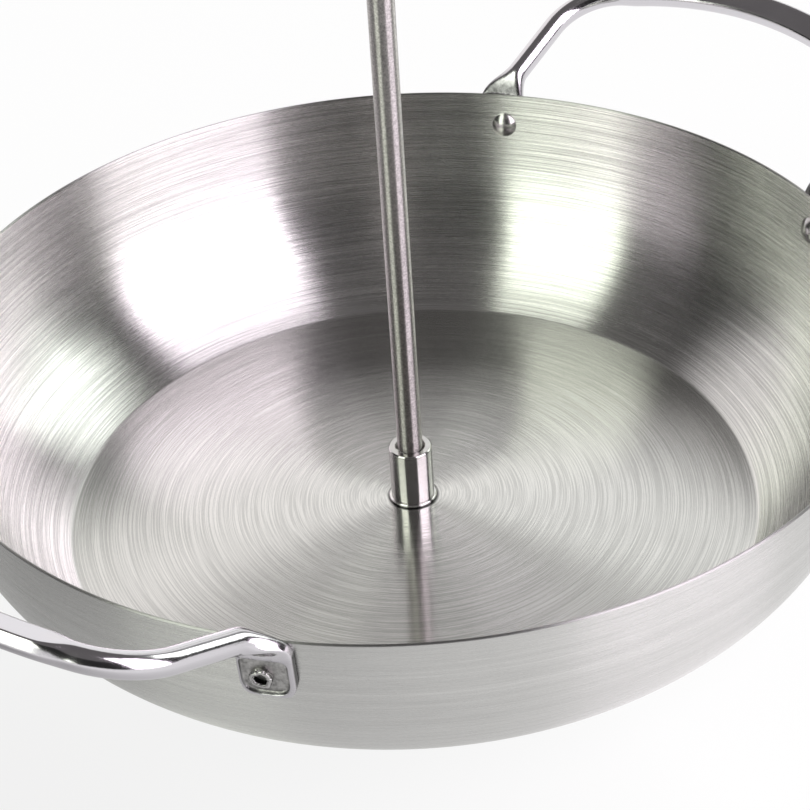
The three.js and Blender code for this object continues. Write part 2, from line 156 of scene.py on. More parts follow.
class SkewerSizes(bpy.types.PropertyGroup):
    """Sizes of the skewer, its stud, its socket and the parts under the base."""

    rod_radius: length("Rod radius", "Radius of the skewer", 4.0)
    rod_chamfer: length("Rod chamfer", "Chamfer of the rod's lower end", 0.5)
    reach: length("Reach", "Tip above the base", 250.0)
    point_length: length("Point", "Length of the conical point", 22.0)
    point_radius: length("Point radius", "Rounding of the very tip", 0.6)
    shoulder: length("Shoulder", "Height of the rod's lower end", 21.524)
    stud_radius: length("Stud radius", "Outside of the thread", 2.95)
    stud_length: length("Stud length", "Thread below the rod", 11.0)
    stud_in_rod: length("Stud in rod", "Stud inside the rod", 8.0)
    pitch: length("Pitch", "Rise of the thread per turn", 1.0)
    thread_depth: length("Thread depth", "Depth of the thread", 0.5)
    socket_radius: length("Socket radius", "Outside of the socket", 7.0)
    socket_height: length("Socket height", "Socket top above the base", 20.0)
    mouth_radius: length("Mouth radius", "Countersink in the socket's top", 4.9)
    bore_radius: length("Bore radius", "Threaded bore", 3.0)
    ring_radius: length("Ring radius", "Bead ring under the socket", 7.8)
    ring_height: length("Ring height", "Height of the bead ring", 1.2)
    screw_radius: length("Screw radius", "Shank of the screw from below", 2.2)
    screw_head_radius: length("Screw head", "Radius of the low head", 5.4)
    screw_head_height: length("Screw head height", "Height of the low head", 0.9)
    washer_radius: length("Washer radius", "Toothed washer", 6.0)
    washer_height: length("Washer height", "Toothed washer", 0.4)


class SteelLooks(bpy.types.PropertyGroup):
    """Colours and polish of the steels."""

    brushed: colour("Brushed steel", "Pan", (0.66, 0.655, 0.64))
    brushed_roughness: amount("Brushed roughness", "Pan", 0.26)
    cast: colour("Cast steel", "Handles", (0.66, 0.64, 0.67))
    cast_roughness: amount("Cast roughness", "Handles", 0.15)
    polished: colour("Polished steel", "Rivets and bead ring", (0.64, 0.63, 0.62))
    socket: colour("Socket steel", "Socket", (0.56, 0.55, 0.54))
    rivet_roughness: amount("Rivet roughness", "Rivets", 0.24)
    bead_roughness: amount("Bead roughness", "Ring under the socket", 0.09)
    socket_roughness: amount("Socket roughness", "Socket", 0.15)
    rod: colour("Rod steel", "Skewer", (0.47, 0.45, 0.44))
    rod_roughness: amount("Rod roughness", "Skewer", 0.35)
    fastener: colour("Fastener steel", "Stud, screw and washer", (0.62, 0.615, 0.6))
    fastener_roughness: amount("Fastener roughness", "Stud, screw and washer", 0.26)


class StageLooks(bpy.types.PropertyGroup):
    """Floor, lamps and camera."""

    floor: colour("Floor", "Pale floor", (0.84, 0.84, 0.84))
    right_lamp: colour("Right lamp", "Tall softbox to the camera's right", (1.0, 0.91, 1.0))
    right_radiance: amount("Right lamp radiance", "Brightness seen in a mirror", 4.3, 10.0)
    left_lamp: colour("Left lamp", "Tall softbox to the camera's left", (0.94, 1.0, 0.87))
    left_radiance: amount("Left lamp radiance", "Brightness seen in a mirror", 2.9, 10.0)
    back_lamp: colour("Back lamp", "Narrow softbox behind on the right", (0.95, 1.0, 0.94))
    back_radiance: amount("Back lamp radiance", "Brightness seen in a mirror", 2.9, 10.0)
    backdrop: amount("Backdrop", "Brightness of the backdrops in reflections", 1.15, 10.0)
    focal: FloatProperty(name="Focal length", description="Camera lens, in millimetres",
                         default=102.876, min=1.0, unit="CAMERA")


def settings(group):
    """The scene's values for a group of sizes or looks."""
    return getattr(bpy.context.scene, "skewer_pan_" + group)


# Surfaces from arrays

def signed_volume(points, quads, fans):
    """Sum over triangles of a dot (b cross c): six times the volume, negative when turned in."""
    halves = [quads[:, [0, 1, 2]], quads[:, [0, 2, 3]], fans]
    a, b, c = points[np.concatenate(halves)].transpose(1, 0, 2)
    return np.einsum("ij,ij->", a, np.cross(b, c))


def skin(name, rows, wrap=False, attributes=None):
    """A closed surface over rows of points. Columns always join round. Rows join round when
    wrap is set; otherwise each end row is closed by a fan to its own middle."""
    count, sides = rows.shape[:2]
    points = rows.reshape(-1, 3)
    index = np.arange(count * sides).reshape(count, sides)
    lower, upper = (index, np.roll(index, -1, axis=0)) if wrap else (index[:-1], index[1:])
    quads = np.stack([lower, np.roll(lower, -1, 1), np.roll(upper, -1, 1), upper], -1).reshape(-1, 4)
    fans = np.zeros((0, 3), int)
    extra = {key: value.reshape(-1) for key, value in (attributes or {}).items()}
    if not wrap:
        middles = rows[[0, -1]].mean(axis=1)
        first, last = len(points), len(points) + 1
        points = np.concatenate([points, middles])
        start, end = index[0], index[-1]
        fans = np.concatenate([
            np.stack([np.roll(start, -1), start, np.full(sides, first)], -1),
            np.stack([end, np.roll(end, -1), np.full(sides, last)], -1),
        ])
        extra = {key: np.concatenate([value, value[[0, -1]]]) for key, value in extra.items()}
    if signed_volume(points, quads, fans) < 0:
        quads, fans = quads[:, ::-1], fans[:, ::-1]
    mesh = bpy.data.meshes.new(name)
    mesh.vertices.add(len(points))
    mesh.vertices.foreach_set("co", points.ravel())
    loops = np.concatenate([quads.ravel(), fans.ravel()])
    starts = np.concatenate([np.arange(len(quads)) * 4, 4 * len(quads) + np.arange(len(fans)) * 3])
    mesh.loops.add(len(loops))
    mesh.loops.foreach_set("vertex_index", loops)
    mesh.polygons.add(len(starts))
    mesh.polygons.foreach_set("loop_start", starts)
    mesh.polygons.foreach_set("use_smooth", np.ones(len(starts), bool))
    mesh.update(calc_edges=True)
    for key, value in extra.items():
        mesh.attributes.new(key, "FLOAT", "POINT").data.foreach_set("value", value)
    if mesh.validate():
        raise RuntimeError(name + " has faces that Blender had to mend")
    return mesh


def place(name, mesh, body, nodes, material):
    """The finished piece: an object at the origin that rides on a body and stands for CAD nodes."""
    piece = bpy.data.objects.new(name, mesh)
    bpy.context.scene.collection.objects.link(piece)
    mesh.materials.append(material)
    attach(piece, body)
    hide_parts(*nodes)
    return piece


def all_round(values, sides):
    """One value for each row, repeated in every column."""
    return np.repeat(values[:, None], sides, axis=1)


def turned(profile, sides, reach=None):
    """A profile of (radius, height) carried round Z: (r cos a, r sin a, z) over equal angles a.
    reach(radius, height, angle) gives a changed radius for threads, teeth and sockets."""
    round_angle = np.arange(sides) * TAU / sides
    radius, height = all_round(profile[:, 0], sides), all_round(profile[:, 1], sides)
    if reach is not None:
        radius = reach(radius, height, round_angle[None, :])
    return np.stack([radius * np.cos(round_angle), radius * np.sin(round_angle), height], -1)


def walked(points):
    """Distance along a line of points, from its first point."""
    steps = np.linalg.norm(np.diff(points, axis=0), axis=1)
    return np.concatenate([[0.0], np.cumsum(steps)])


def quadratic(a, b, c, t):
    """The curve (1-t)^2 a + 2t(1-t) b + t^2 c: from a to c, aiming at b on the way."""
    return (1 - t) ** 2 * a + 2 * t * (1 - t) * b + t ** 2 * c


def filleted(corners, steps=4):
    """A section line through corners (radius, height, fillet), in millimetres. A corner becomes
    a quadratic curve that starts and ends a fillet away along its sides, and each side gets one
    more point close by, so that its flat stays flat in the light."""
    corners = np.array(corners, float)
    places, fillets = corners[:, :2], corners[:, 2]
    line = [places[:1]]
    t = np.linspace(0, 1, steps + 1)[:, None]
    guard = 1.35
    for before, here, after, fillet in zip(places, places[1:], places[2:], fillets[1:]):
        back = (before - here) / np.linalg.norm(before - here)
        on = (after - here) / np.linalg.norm(after - here)
        curve = quadratic(here + back * fillet, here, here + on * fillet, t)
        line += [[here + back * fillet * guard], curve, [here + on * fillet * guard]]
    line.append(places[-1:])
    return np.concatenate(line) * MM


def smooth(value, low, high):
    """The cubic 3t^2 - 2t^3 of the share t that value has come from low to high."""
    t = np.clip((value - low) / (high - low), 0, 1)
    return t * t * (3 - 2 * t)


def blend(a, b, share):
    """a at share 0 and b at share 1, in a straight line between."""
    share = np.asarray(share)
    return a * (1 - share) + b * share


def unit(vectors):
    return vectors / np.linalg.norm(vectors, axis=-1, keepdims=True)


# Section of the pan

def cubic(corners, t):
    """A cubic Bezier curve: its corners weighted by (1-t)^3, 3t(1-t)^2, 3t^2(1-t) and t^3."""
    weights = np.stack([(1 - t) ** 3, 3 * t * (1 - t) ** 2, 3 * t ** 2 * (1 - t), t ** 3], -1)
    return weights @ np.array(corners)


def slope(turn):
    """Radius and height of a step of one at an angle above level."""
    return np.array([np.cos(turn), np.sin(turn)])


def wall_line(pan, t):
    """Inside of the wall, from the end of the corner's arc to the rim."""
    rim_inside = np.array([pan.rim_radius - pan.sheet * np.sin(pan.rim_angle), pan.height])
    corner = np.array([pan.base_radius, pan.sheet])
    tangent = pan.corner_radius * np.tan(pan.foot_angle / 2)
    foot, rim = slope(pan.foot_angle), slope(pan.rim_angle)
    return cubic([corner + foot * tangent, corner + foot * (tangent + pan.foot_reach),
                  rim_inside - rim * pan.rim_reach, rim_inside], t)


def inside_line(pan, base_steps, corner_steps, wall_steps):
    """Inside of the whole sheet: the base, crowned by half a cosine wave, then an arc, then the
    wall. The wall stops half a sheet below the rim, where the rounded edge takes over."""
    flat_end = pan.base_radius - pan.corner_radius * np.tan(pan.foot_angle / 2)
    flat_start = flat_end - pan.ring_width
    radius = np.concatenate([
        np.linspace(pan.hole_radius, pan.centre_flat, 6),
        np.linspace(pan.centre_flat, flat_start, base_steps + 1)[1:],
        np.linspace(flat_start, flat_end, 8)[1:-1],
    ])
    share = np.clip((radius - pan.centre_flat) / (flat_start - pan.centre_flat), 0, 1)
    base = np.stack([radius, pan.sheet + pan.crown * (1 + np.cos(np.pi * share)) / 2], -1)
    turn = np.linspace(0, pan.foot_angle, corner_steps + 1)[:-1]
    corner = np.stack([flat_end + pan.corner_radius * np.sin(turn),
                       pan.sheet + pan.corner_radius * (1 - np.cos(turn))], -1)
    whole = wall_line(pan, np.linspace(0, 1, 400))
    stop = np.interp(pan.height - pan.sheet / 2, whole[:, 1], np.linspace(0, 1, 400))
    return np.concatenate([base, corner, wall_line(pan, np.linspace(0, stop, wall_steps))])


def outwards(line):
    """Unit directions square to a line, to its lower and outer side."""
    along = unit(np.gradient(line, walked(line), axis=0))
    return np.stack([along[:, 1], -along[:, 0]], -1)


def outside_of_wall(pan, distance):
    """The wall's outside, moved out by a distance: its radius is read off by height."""
    line = wall_line(pan, np.linspace(0, 1, 200))
    return line + outwards(line) * (pan.sheet + distance)


def pan_rows(pan, sides):
    """The sheet's section, closed: inside line, round edge, outside line back, carried round Z.
    Along is the distance from the middle on each face; edge is 1 on the rim's round edge and
    outside is 1 on the outer face."""
    inner = inside_line(pan, base_steps=44, corner_steps=9, wall_steps=56)
    normal = outwards(inner)
    outer = inner + normal * pan.sheet
    along = walked(inner)
    across, up = normal[-1], np.array([-normal[-1][1], normal[-1][0]])
    turn = np.linspace(0, np.pi, 11)[1:-1, None]
    edge = inner[-1] + pan.sheet / 2 * (across * (1 - np.cos(turn)) + up * np.sin(turn))
    section = np.concatenate([inner, edge, outer[::-1]])
    run = np.concatenate([along, np.full(len(edge), along[-1]), along[::-1]])
    on_edge = np.concatenate([np.zeros(len(inner)), np.ones(len(edge)), np.zeros(len(inner))])
    outside = np.concatenate([np.zeros(len(inner)), np.full(len(edge), 0.5), np.ones(len(inner))])
    spread = {"along": run, "edge": on_edge, "outside": outside}
    rows = turned(section, sides)
    return rows, {key: all_round(value, sides) for key, value in spread.items()}


# Handles

def level_axes(pan, handle):
    """Straight out from the middle through the rivet at +Y of the handle at +X, and level and
    square to that."""
    azimuth = np.arcsin(handle.spacing / 2 / pan.rim_radius)
    across, along = np.cos(azimuth), np.sin(azimuth)
    return np.array([across, along, 0.0]), np.array([-along, across, 0.0])


def on_wall(pan, handle, height, distance):
    """Points at heights on the wall beside that rivet, and the wall's outward directions."""
    line = wall_line(pan, np.linspace(0, 1, 400))
    normal = outwards(line)
    radius = np.interp(height, line[:, 1], line[:, 0])
    out = unit(np.stack([np.interp(height, line[:, 1], normal[:, i]) for i in (0, 1)], -1))
    turn = level_axes(pan, handle)[0][:2]
    outward = np.concatenate([out[:, :1] * turn, out[:, 1:]], -1)
    point = np.concatenate([radius[:, None] * turn, np.asarray(height)[:, None]], -1)
    return point + outward * distance, outward


def lug_outline(lug, height):
    """Half width of the shield: an ellipse towards the tip, straight above it, and a small round
    at the tip's own corners. Height is measured from the tip."""
    share = np.clip(1 - height / lug.tip_length, 0, 1)
    width = blend(lug.tip_half_width, lug.half_width, np.sqrt(1 - share ** 2))
    round_share = np.clip(1 - height / lug.tip_round, 0, 1)
    return width - lug.tip_round * (1 - np.sqrt(1 - round_share ** 2))


def half_rings(pan, handle, lug, rivet):
    """Rings of half a handle, from the tip of the lug at +Y to the middle of the grip: centres,
    face directions, half widths, half thicknesses and the exponents of both faces."""
    seat = 1.0 * MM
    section, bow_top, bow_under = 5.0, 7.0, 2.4
    least_thickness, tip_crowding = 0.12, 1.35
    rivet_height = pan.height - rivet.below_rim
    tip, top = rivet_height - lug.below, rivet_height + lug.above
    half_lug = (lug.thickness + seat) / 2
    straight_out, sideways = level_axes(pan, handle)
    rings = []

    # Lug: rings stand close together where its tip rounds off.
    share = np.linspace(0, 1, 56) ** tip_crowding
    height = blend(tip, top, share)
    centre, outward = on_wall(pan, handle, height, pan.sheet + LUG_GAP + (lug.thickness - seat) / 2)
    centre = centre + sideways * lug.shift
    end_round = np.sqrt(np.clip(1 - np.clip(1 - (height - tip) / lug.tip_round, 0, 1) ** 2, 0, 1))
    thick = half_lug * np.clip(end_round, least_thickness, 1)
    square = np.full(len(height), section)
    rings.append((centre, -outward, lug_outline(lug, height - tip), thick, square, square))
    lug_centre, lug_face, lug_width = centre[-1], -outward[-1], rings[0][2][-1]

    # Neck: a quadratic curve into the leg, on which the section goes round.
    tilt, across = handle.tilt, handle.spacing / 2
    out_up = np.array([np.cos(tilt), 0, np.sin(tilt)])
    face = np.array([-np.sin(tilt), 0, np.cos(tilt)])
    start = np.array([pan.rim_radius * straight_out[0] + handle.leg_offset, 0,
                      pan.height + handle.leg_rise])

    def in_plane(sidewards, out):
        sidewards = np.broadcast_to(np.asarray(sidewards, float), np.shape(out))
        plane = np.stack([np.zeros_like(sidewards), sidewards, np.zeros_like(sidewards)], -1)
        return start + plane + np.asarray(out)[..., None] * out_up

    t = np.linspace(0, 1, 29)[1:, None]
    corner, end = in_plane(across, -handle.neck_back), in_plane(across, handle.neck_bend)
    centre = quadratic(lug_centre, corner, end, t)
    ease = smooth(t[:, 0], 0, 1)
    bar = handle.bar_radius
    rings.append((centre, unit(blend(lug_face, face, t)), blend(lug_width, bar, ease),
                  blend(half_lug, bar, ease), blend(section, 2, ease), blend(section, 2, ease)))

    # Bend: an arc that meets the grip's bow where both share a tangent.
    bend_across = across - handle.bend_radius
    bow_half = np.arcsin(bend_across / (handle.bow_radius - handle.bend_radius))
    bow_centre = handle.reach - handle.bow_radius
    bend_out = bow_centre + (handle.bow_radius - handle.bend_radius) * np.cos(bow_half)
    straight = np.linspace(handle.neck_bend, bend_out, 12)[1:-1]
    turn = np.linspace(0, np.pi / 2 - bow_half, 25)[:-1]
    for sidewards, out in ((np.full(len(straight), across), straight),
                           (bend_across + handle.bend_radius * np.cos(turn),
                            bend_out + handle.bend_radius * np.sin(turn))):
        full = np.ones(len(out))
        rings.append((in_plane(sidewards, out), full[:, None] * face, bar * full, bar * full,
                      2 * full, 2 * full))

    # Grip: an arc of the bow on which the bar widens and its upper face goes flat.
    turn = np.linspace(bow_half, 0, 46)
    ease = smooth((bow_half - turn) * handle.bow_radius, 0, handle.grip_blend)
    bow = in_plane(handle.bow_radius * np.sin(turn), bow_centre + handle.bow_radius * np.cos(turn))
    rings.append((bow, np.ones(len(turn))[:, None] * face, blend(bar, handle.grip_half_width, ease),
                  blend(bar, handle.grip_half_thickness, ease), blend(2, bow_top, ease),
                  blend(2, bow_under, ease)))
    return [np.concatenate(part) for part in zip(*rings)]


def recess_depth(pan, handle, lug, rivet, points):
    """How far a point of the lug's outer face sinks: the recess's depth, eased in over its slope.
    The plan is a box with rounded corners whose half width follows the shield's outline."""
    rivet_height = pan.height - rivet.below_rim
    tip = rivet_height - lug.below
    height = points[..., 2] - tip
    low, high = lug.inner_rim, lug.below + lug.recess_top
    half_width = lug_outline(lug, np.maximum(height - lug.inner_rim, 0))
    half_width = half_width - (lug.outer_rim + lug.inner_rim) / 2
    straight_out, sideways = level_axes(pan, handle)
    beside = points @ sideways - (lug.shift + (lug.inner_rim - lug.outer_rim) / 2)
    corner = lug.recess_corner
    over_x = np.abs(beside) - half_width + corner
    over_z = np.abs(height - (low + high) / 2) - (high - low) / 2 + corner
    beyond = np.hypot(np.maximum(over_x, 0), np.maximum(over_z, 0))
    inside = corner - beyond - np.minimum(np.maximum(over_x, over_z), 0)
    return lug.recess * smooth(inside, 0, lug.recess_slope) * (points @ straight_out > 0)


def seat_on_wall(pan, points):
    """Points inside the wall's outer face go straight out to it, or up over the rim, whichever
    is nearer."""
    skin_line = outside_of_wall(pan, LUG_GAP)
    radius = np.hypot(points[..., 0], points[..., 1])
    least = np.interp(points[..., 2], skin_line[:, 1], skin_line[:, 0])
    short = least - radius
    rise = pan.height + LUG_GAP - points[..., 2]
    inside = (short > 0) & (rise > 0)
    out = inside & (short <= rise)
    lift = inside & ~out
    factor = np.where(out, least / np.maximum(radius, 1e-6), 1.0)
    moved = points * np.stack([factor, factor, np.ones_like(factor)], -1)
    moved[..., 2] = np.where(lift, pan.height + LUG_GAP, moved[..., 2])
    return moved


def handle_rows(pan, handle, lug, rivet, sides):
    """Ovals carried along the handle. A ring's point at t is (w k cos t, h k sin t) across and
    up, with k = (|cos t|^n + |sin t|^n)^(-1/n), n being the exponent of its face. The outer face
    of each lug sinks into its recess, and the inner face takes the shape of the wall. The
    attributes are 1 in the recess, on the lug's outer face, on the lug's sides and back where it
    meets the wall, which the material paints dark as shade, and on the rough inside of the neck."""
    face_gain, face_start, side_shade_gain, neck_gain = 4.0, 1.2, 4.0, 2.0
    neck_middle, neck_spread = pan.height + 1.5 * MM, 3.5 * MM
    centre, face, width, thick, top, under = half_rings(pan, handle, lug, rivet)
    mirror = np.array([1, -1, 1])
    centre = np.concatenate([centre * mirror, centre[-2::-1]])
    face = np.concatenate([face * mirror, face[-2::-1]])
    width, thick, top, under = (np.concatenate([part, part[-2::-1]])
                                for part in (width, thick, top, under))
    along = unit(np.gradient(centre, axis=0))
    across = unit(np.cross(along, face))
    up = unit(np.cross(across, along))
    t = (np.arange(sides) + 0.5) * TAU / sides
    power = np.where(np.sin(t) >= 0, top[:, None], under[:, None])
    k = (np.abs(np.cos(t)) ** power + np.abs(np.sin(t)) ** power) ** (-1 / power)
    x = width[:, None] * k * np.cos(t)
    y = thick[:, None] * k * np.sin(t)
    points = centre[:, None] + across[:, None] * x[..., None] + up[:, None] * y[..., None]
    folded = points * np.where(points[..., 1:2] < 0, mirror, 1)
    height = points[..., 2]
    rivet_height = pan.height - rivet.below_rim
    on_lug = height < rivet_height + lug.above
    in_reach = height < rivet_height + lug.recess_top + lug.recess_slope + 0.1 * MM
    outer = np.clip(-np.sin(t) * face_gain - face_start, 0, 1)[None, :] * in_reach
    depth = recess_depth(pan, handle, lug, rivet, folded) * outer
    points = points + up[:, None] * depth[..., None]
    points = seat_on_wall(pan, points)
    # Painted shade: the lug's sides and back, against the wall, are marked to be painted dark.
    lug_side_shade = on_lug * np.clip(1 - side_shade_gain * outer, 0, 1)
    neck = np.exp(-((points[..., 2] - neck_middle) / neck_spread) ** 2)
    neck = neck * np.clip(neck_gain * np.sin(t), 0, 1)
    return points, {"recess": depth / lug.recess, "lug": outer, "lug_side_shade": lug_side_shade, "neck": neck}


# Rivets

def rivet_profile(pan, lug, rivet):
    """Section of a rivet along its own axis, which is zero at the inside of the wall: a dome cut
    from a sphere, then corners for the shank, the rolled tail and its hollow."""
    floor = pan.sheet + LUG_GAP + lug.thickness - lug.recess
    dome = (rivet.head_radius ** 2 + rivet.head_height ** 2) / (2 * rivet.head_height)
    cap_share = 0.93
    turn = np.linspace(0, np.arcsin(rivet.head_radius / dome) * cap_share, 22)
    cap = np.stack([dome * np.sin(turn), dome * (1 - np.cos(turn)) - rivet.head_height - HEAD_GAP], -1)
    head, shank = rivet.head_radius / MM, rivet.shank_radius / MM
    tail, bore = rivet.tail_radius / MM, rivet.bore_radius / MM
    foot, low = -HEAD_GAP / MM, floor / MM
    end = low + rivet.tail_height / MM
    bottom = end - rivet.bore_depth / MM
    side = filleted([
        (cap[-1, 0] / MM, cap[-1, 1] / MM, 0), (head, foot - 0.25, 0.16), (head - 0.1, foot + 0.05, 0.08),
        (shank, foot + 0.05, 0.1), (shank, low + 0.02, 0.02), (tail - 0.25, low + 0.02, 0.02),
        (tail + 0.05, low + 0.75, 0.5), (tail - 0.2, end, 0.75), (bore + 0.15, end - 0.1, 0.35),
        (bore, end - 0.9, 0.3), (bore - 0.1, bottom, 0.3), (0, bottom + 0.2, 0),
    ], steps=6)
    return np.concatenate([cap, side[1:]]), floor


def rivet_rows(pan, lug, rivet, sides, phase):
    """The section carried round its axis. The rolled tail is pulled in and out by two sine waves
    and eight shallow splits, as a crimped rim is. Deep is 1 in the tail's hollow, which the material paints
    black as shade."""
    profile, floor = rivet_profile(pan, lug, rivet)
    splits, split_depth, split_width = 8, 0.085, 0.09
    slow_wave, quick_wave, middle = 0.05, 0.04, 0.5 * MM

    def crimp(radius, height, round_angle):
        on_tail = smooth(height, floor + 0.2 * MM, floor + 0.9 * MM) * (radius > middle)
        wave = slow_wave * np.sin(3 * round_angle + phase)
        wave = wave + quick_wave * np.sin(5 * round_angle + 2 * phase)
        share = np.mod(round_angle * splits / TAU + 0.1 * phase, 1) - 0.5
        split = -split_depth * np.exp(-(share / split_width) ** 2)
        return radius * (1 + on_tail * (wave + split * (radius > rivet.bore_radius * 1.02)))

    # Painted shade: the tail's hollow is marked to be painted black.
    deep = smooth(rivet.bore_radius + 0.3 * MM - profile[:, 0], 0, 0.25 * MM) * (profile[:, 1] > 0)
    return turned(profile, sides, crimp), {"deep": all_round(deep, sides)}


def to_rivet(pan, handle, rivet, rows, side, turn):
    """Rivet rows moved from their own axis to the wall: side is +1 or -1 along Y and turn is the
    angle of the handle round Z."""
    point, outward = on_wall(pan, handle, np.array([pan.height - rivet.below_rim]), 0.0)
    flip = np.array([1, side, 1])
    axis = Vector(outward[0] * flip)
    rotation = np.array(Vector((0, 0, 1)).rotation_difference(axis).to_matrix())
    rows = rows @ rotation.T + point[0] * flip
    spin = np.array([[np.cos(turn), -np.sin(turn), 0], [np.sin(turn), np.cos(turn), 0], [0, 0, 1]])
    return rows @ spin.T


# Skewer and its seat

def thread_wave(height, round_angle, pitch):
    """A right-handed thread: a triangle wave of height less its rise per turn, with its tops and
    roots cut flat. It is 1 on the crest and 0 in the root."""
    steepness, root_flat = 2.9, 0.22
    share = np.mod(height / pitch - round_angle / TAU, 1)
    return np.clip(steepness * np.abs(share - 0.5) - root_flat, 0, 1)


def stud_rows(skewer, sides):
    """A thread on a rod: the radius falls from crest to root, and both ends are chamfered."""
    foot, top = skewer.shoulder - skewer.stud_length, skewer.shoulder + skewer.stud_in_rod
    end_radius, middle, rings = 2.2 * MM, 0.3 * MM, 260
    height = np.linspace(foot, top, rings)
    profile = np.stack([np.full(rings, skewer.stud_radius), height], -1)
    profile = np.concatenate([[[middle, foot]], profile, [[middle, top]]])

    def cut(radius, height, round_angle):
        wave = thread_wave(height, round_angle, skewer.pitch)
        ridge = skewer.stud_radius - skewer.thread_depth * (1 - wave)
        chamfer = end_radius + np.minimum(height - foot, top - height)
        return np.where(radius < 2 * middle, radius, np.minimum(ridge, chamfer))

    return turned(profile, sides, cut)


def rod_rows(pan, skewer, sides):
    """Section of the skewer: hole for the stud, chamfered end, straight bar, a shoulder eased by
    a quadratic curve, then a straight cone and a rounded tip."""
    tip = (pan.crown + pan.sheet + skewer.reach) / MM
    foot, radius = skewer.shoulder / MM, skewer.rod_radius / MM
    hole, hole_top = skewer.bore_radius / MM, (skewer.shoulder + skewer.stud_in_rod) / MM + 0.3
    chamfer, point = skewer.rod_chamfer / MM, skewer.point_length / MM
    shoulder_length, cone_share, nose_height, nose_start = 2.0, 0.08, 0.55, 0.15
    lower = filleted([
        (0, hole_top, 0), (hole, hole_top, 0.1), (hole, foot, 0.08), (radius - chamfer, foot, 0.08),
        (radius, foot + chamfer, 0.12), (radius, tip - point - shoulder_length, 0.1),
    ])
    t = np.linspace(0, 1, 24)[:, None]
    bar_end, apex = np.array([radius, tip - point]), np.array([skewer.point_radius / MM, tip - 0.5])
    bar_stop = np.array([radius, tip - point - shoulder_length])
    cone_start = bar_end + (apex - bar_end) * cone_share
    eased = quadratic(bar_stop, bar_end, cone_start, t)
    turn = np.linspace(nose_start, np.pi / 2, 9)[:, None]
    nose = np.concatenate([apex[:1] * np.cos(turn), tip - nose_height * (1 - np.sin(turn))], -1)
    nose[-1, 0] = 0
    cone = cone_start + (nose[0] - cone_start) * np.linspace(0, 1, 12)[1:-1, None]
    section = np.concatenate([lower[:-1], np.concatenate([eased, cone, nose]) * MM])
    return turned(section, sides)


def socket_rows(pan, skewer, sides):
    """Section of the socket: bore for the screw from below, turned outside with small bevels,
    conical mouth and threaded bore."""
    base = pan.crown + pan.sheet
    foot, top = (base + skewer.ring_height) / MM, (base + skewer.socket_height) / MM
    radius, mouth, bore = skewer.socket_radius / MM, skewer.mouth_radius / MM, skewer.bore_radius / MM
    screw_bore, low_bevel, top_bevel, groove_depth, rings = 2.5, 0.3, 0.4, 0.3, 150
    under_stud, web = 0.6, 1.6
    floor = (skewer.shoulder - skewer.stud_length) / MM - under_stud
    screw_top = floor - web
    cone_foot = top - (mouth - bore)
    lower = filleted([
        (0, screw_top, 0), (screw_bore, screw_top, 0.1), (screw_bore, foot, 0.15),
        (radius - low_bevel, foot, 0.08), (radius, foot + low_bevel, 0.15),
        (radius, top - top_bevel, 0.15), (radius - top_bevel, top, 0.15),
        (mouth, top, 0.1), (bore, cone_foot, 0.1), (bore, cone_foot - 0.4, 0.1),
    ])
    thread_top = (cone_foot - 0.5) * MM
    height = np.linspace(thread_top, (floor + 0.2) * MM, rings)
    thread = np.stack([np.full(rings, bore * MM), height], -1)
    bottom = filleted([(bore, floor + 0.15, 0), (bore, floor, 0.1), (0, floor - 0.3, 0)])
    section = np.concatenate([lower[:-1], thread, bottom[1:]])

    def cut(radius, height, round_angle):
        fade = smooth(height, (floor + 0.2) * MM, (floor + 1) * MM)
        fade = fade * (1 - smooth(height, thread_top - 0.5 * MM, thread_top))
        groove = groove_depth * MM * thread_wave(height, round_angle, skewer.pitch) * fade
        on_bore = (np.abs(radius - bore * MM) < 1e-6) & (height > floor * MM)
        return radius + np.where(on_bore, groove, 0)

    return turned(section, sides, cut)


def ring_rows(pan, skewer, sides):
    """Section of the bead ring: a half round outside, a straight bore inside."""
    foot, height = (pan.crown + pan.sheet) / MM, skewer.ring_height / MM
    top, edge = foot + height, height / 2
    turn = np.linspace(-np.pi / 2, np.pi / 2, 17)
    outside = skewer.ring_radius / MM - edge + edge * np.cos(turn)
    bead = np.stack([outside, foot + edge + edge * np.sin(turn)], -1)
    bore = (skewer.screw_radius + SCREW_PLAY) / MM
    inner = np.array([[bore + 0.1, top], [bore, top - 0.1], [bore, foot + 0.1], [bore + 0.1, foot]])
    return turned(np.concatenate([bead, inner]) * MM, sides)


def washer_rows(pan, skewer, sides):
    """A washer with fourteen twisted teeth: its radius and its height both follow the angle."""
    top = pan.crown / MM
    foot = top - skewer.washer_height / MM
    inner, outer = (skewer.screw_radius + SCREW_PLAY) / MM, skewer.washer_radius / MM
    count, half_tooth, tooth_length, twist = 14, 0.38, 0.85, 0.09
    body, root = outer - 1.2, outer - 1.1
    section = np.array([
        [inner, top - 0.06], [inner + 0.06, top], [body, top], [outer - 0.05, top], [outer, top - 0.05],
        [outer, foot + 0.05], [outer - 0.05, foot], [body, foot], [inner + 0.06, foot],
        [inner, foot + 0.06],
    ]) * MM

    def teeth(radius, height, round_angle):
        share = np.mod(round_angle * count / TAU, 1)
        gap = smooth(np.abs(share - 0.5), half_tooth - 0.08, half_tooth)
        return radius - gap * smooth(radius, root * MM, (outer - 0.1) * MM) * tooth_length * MM

    rows = turned(section, sides, teeth)
    share = np.mod(np.arange(sides) * count / sides, 1) - 0.5
    on_tooth = smooth(np.hypot(rows[..., 0], rows[..., 1]), root * MM, outer * MM)
    rows[..., 2] += twist * MM * np.clip(share, -half_tooth, 0.0) * on_tooth
    return rows


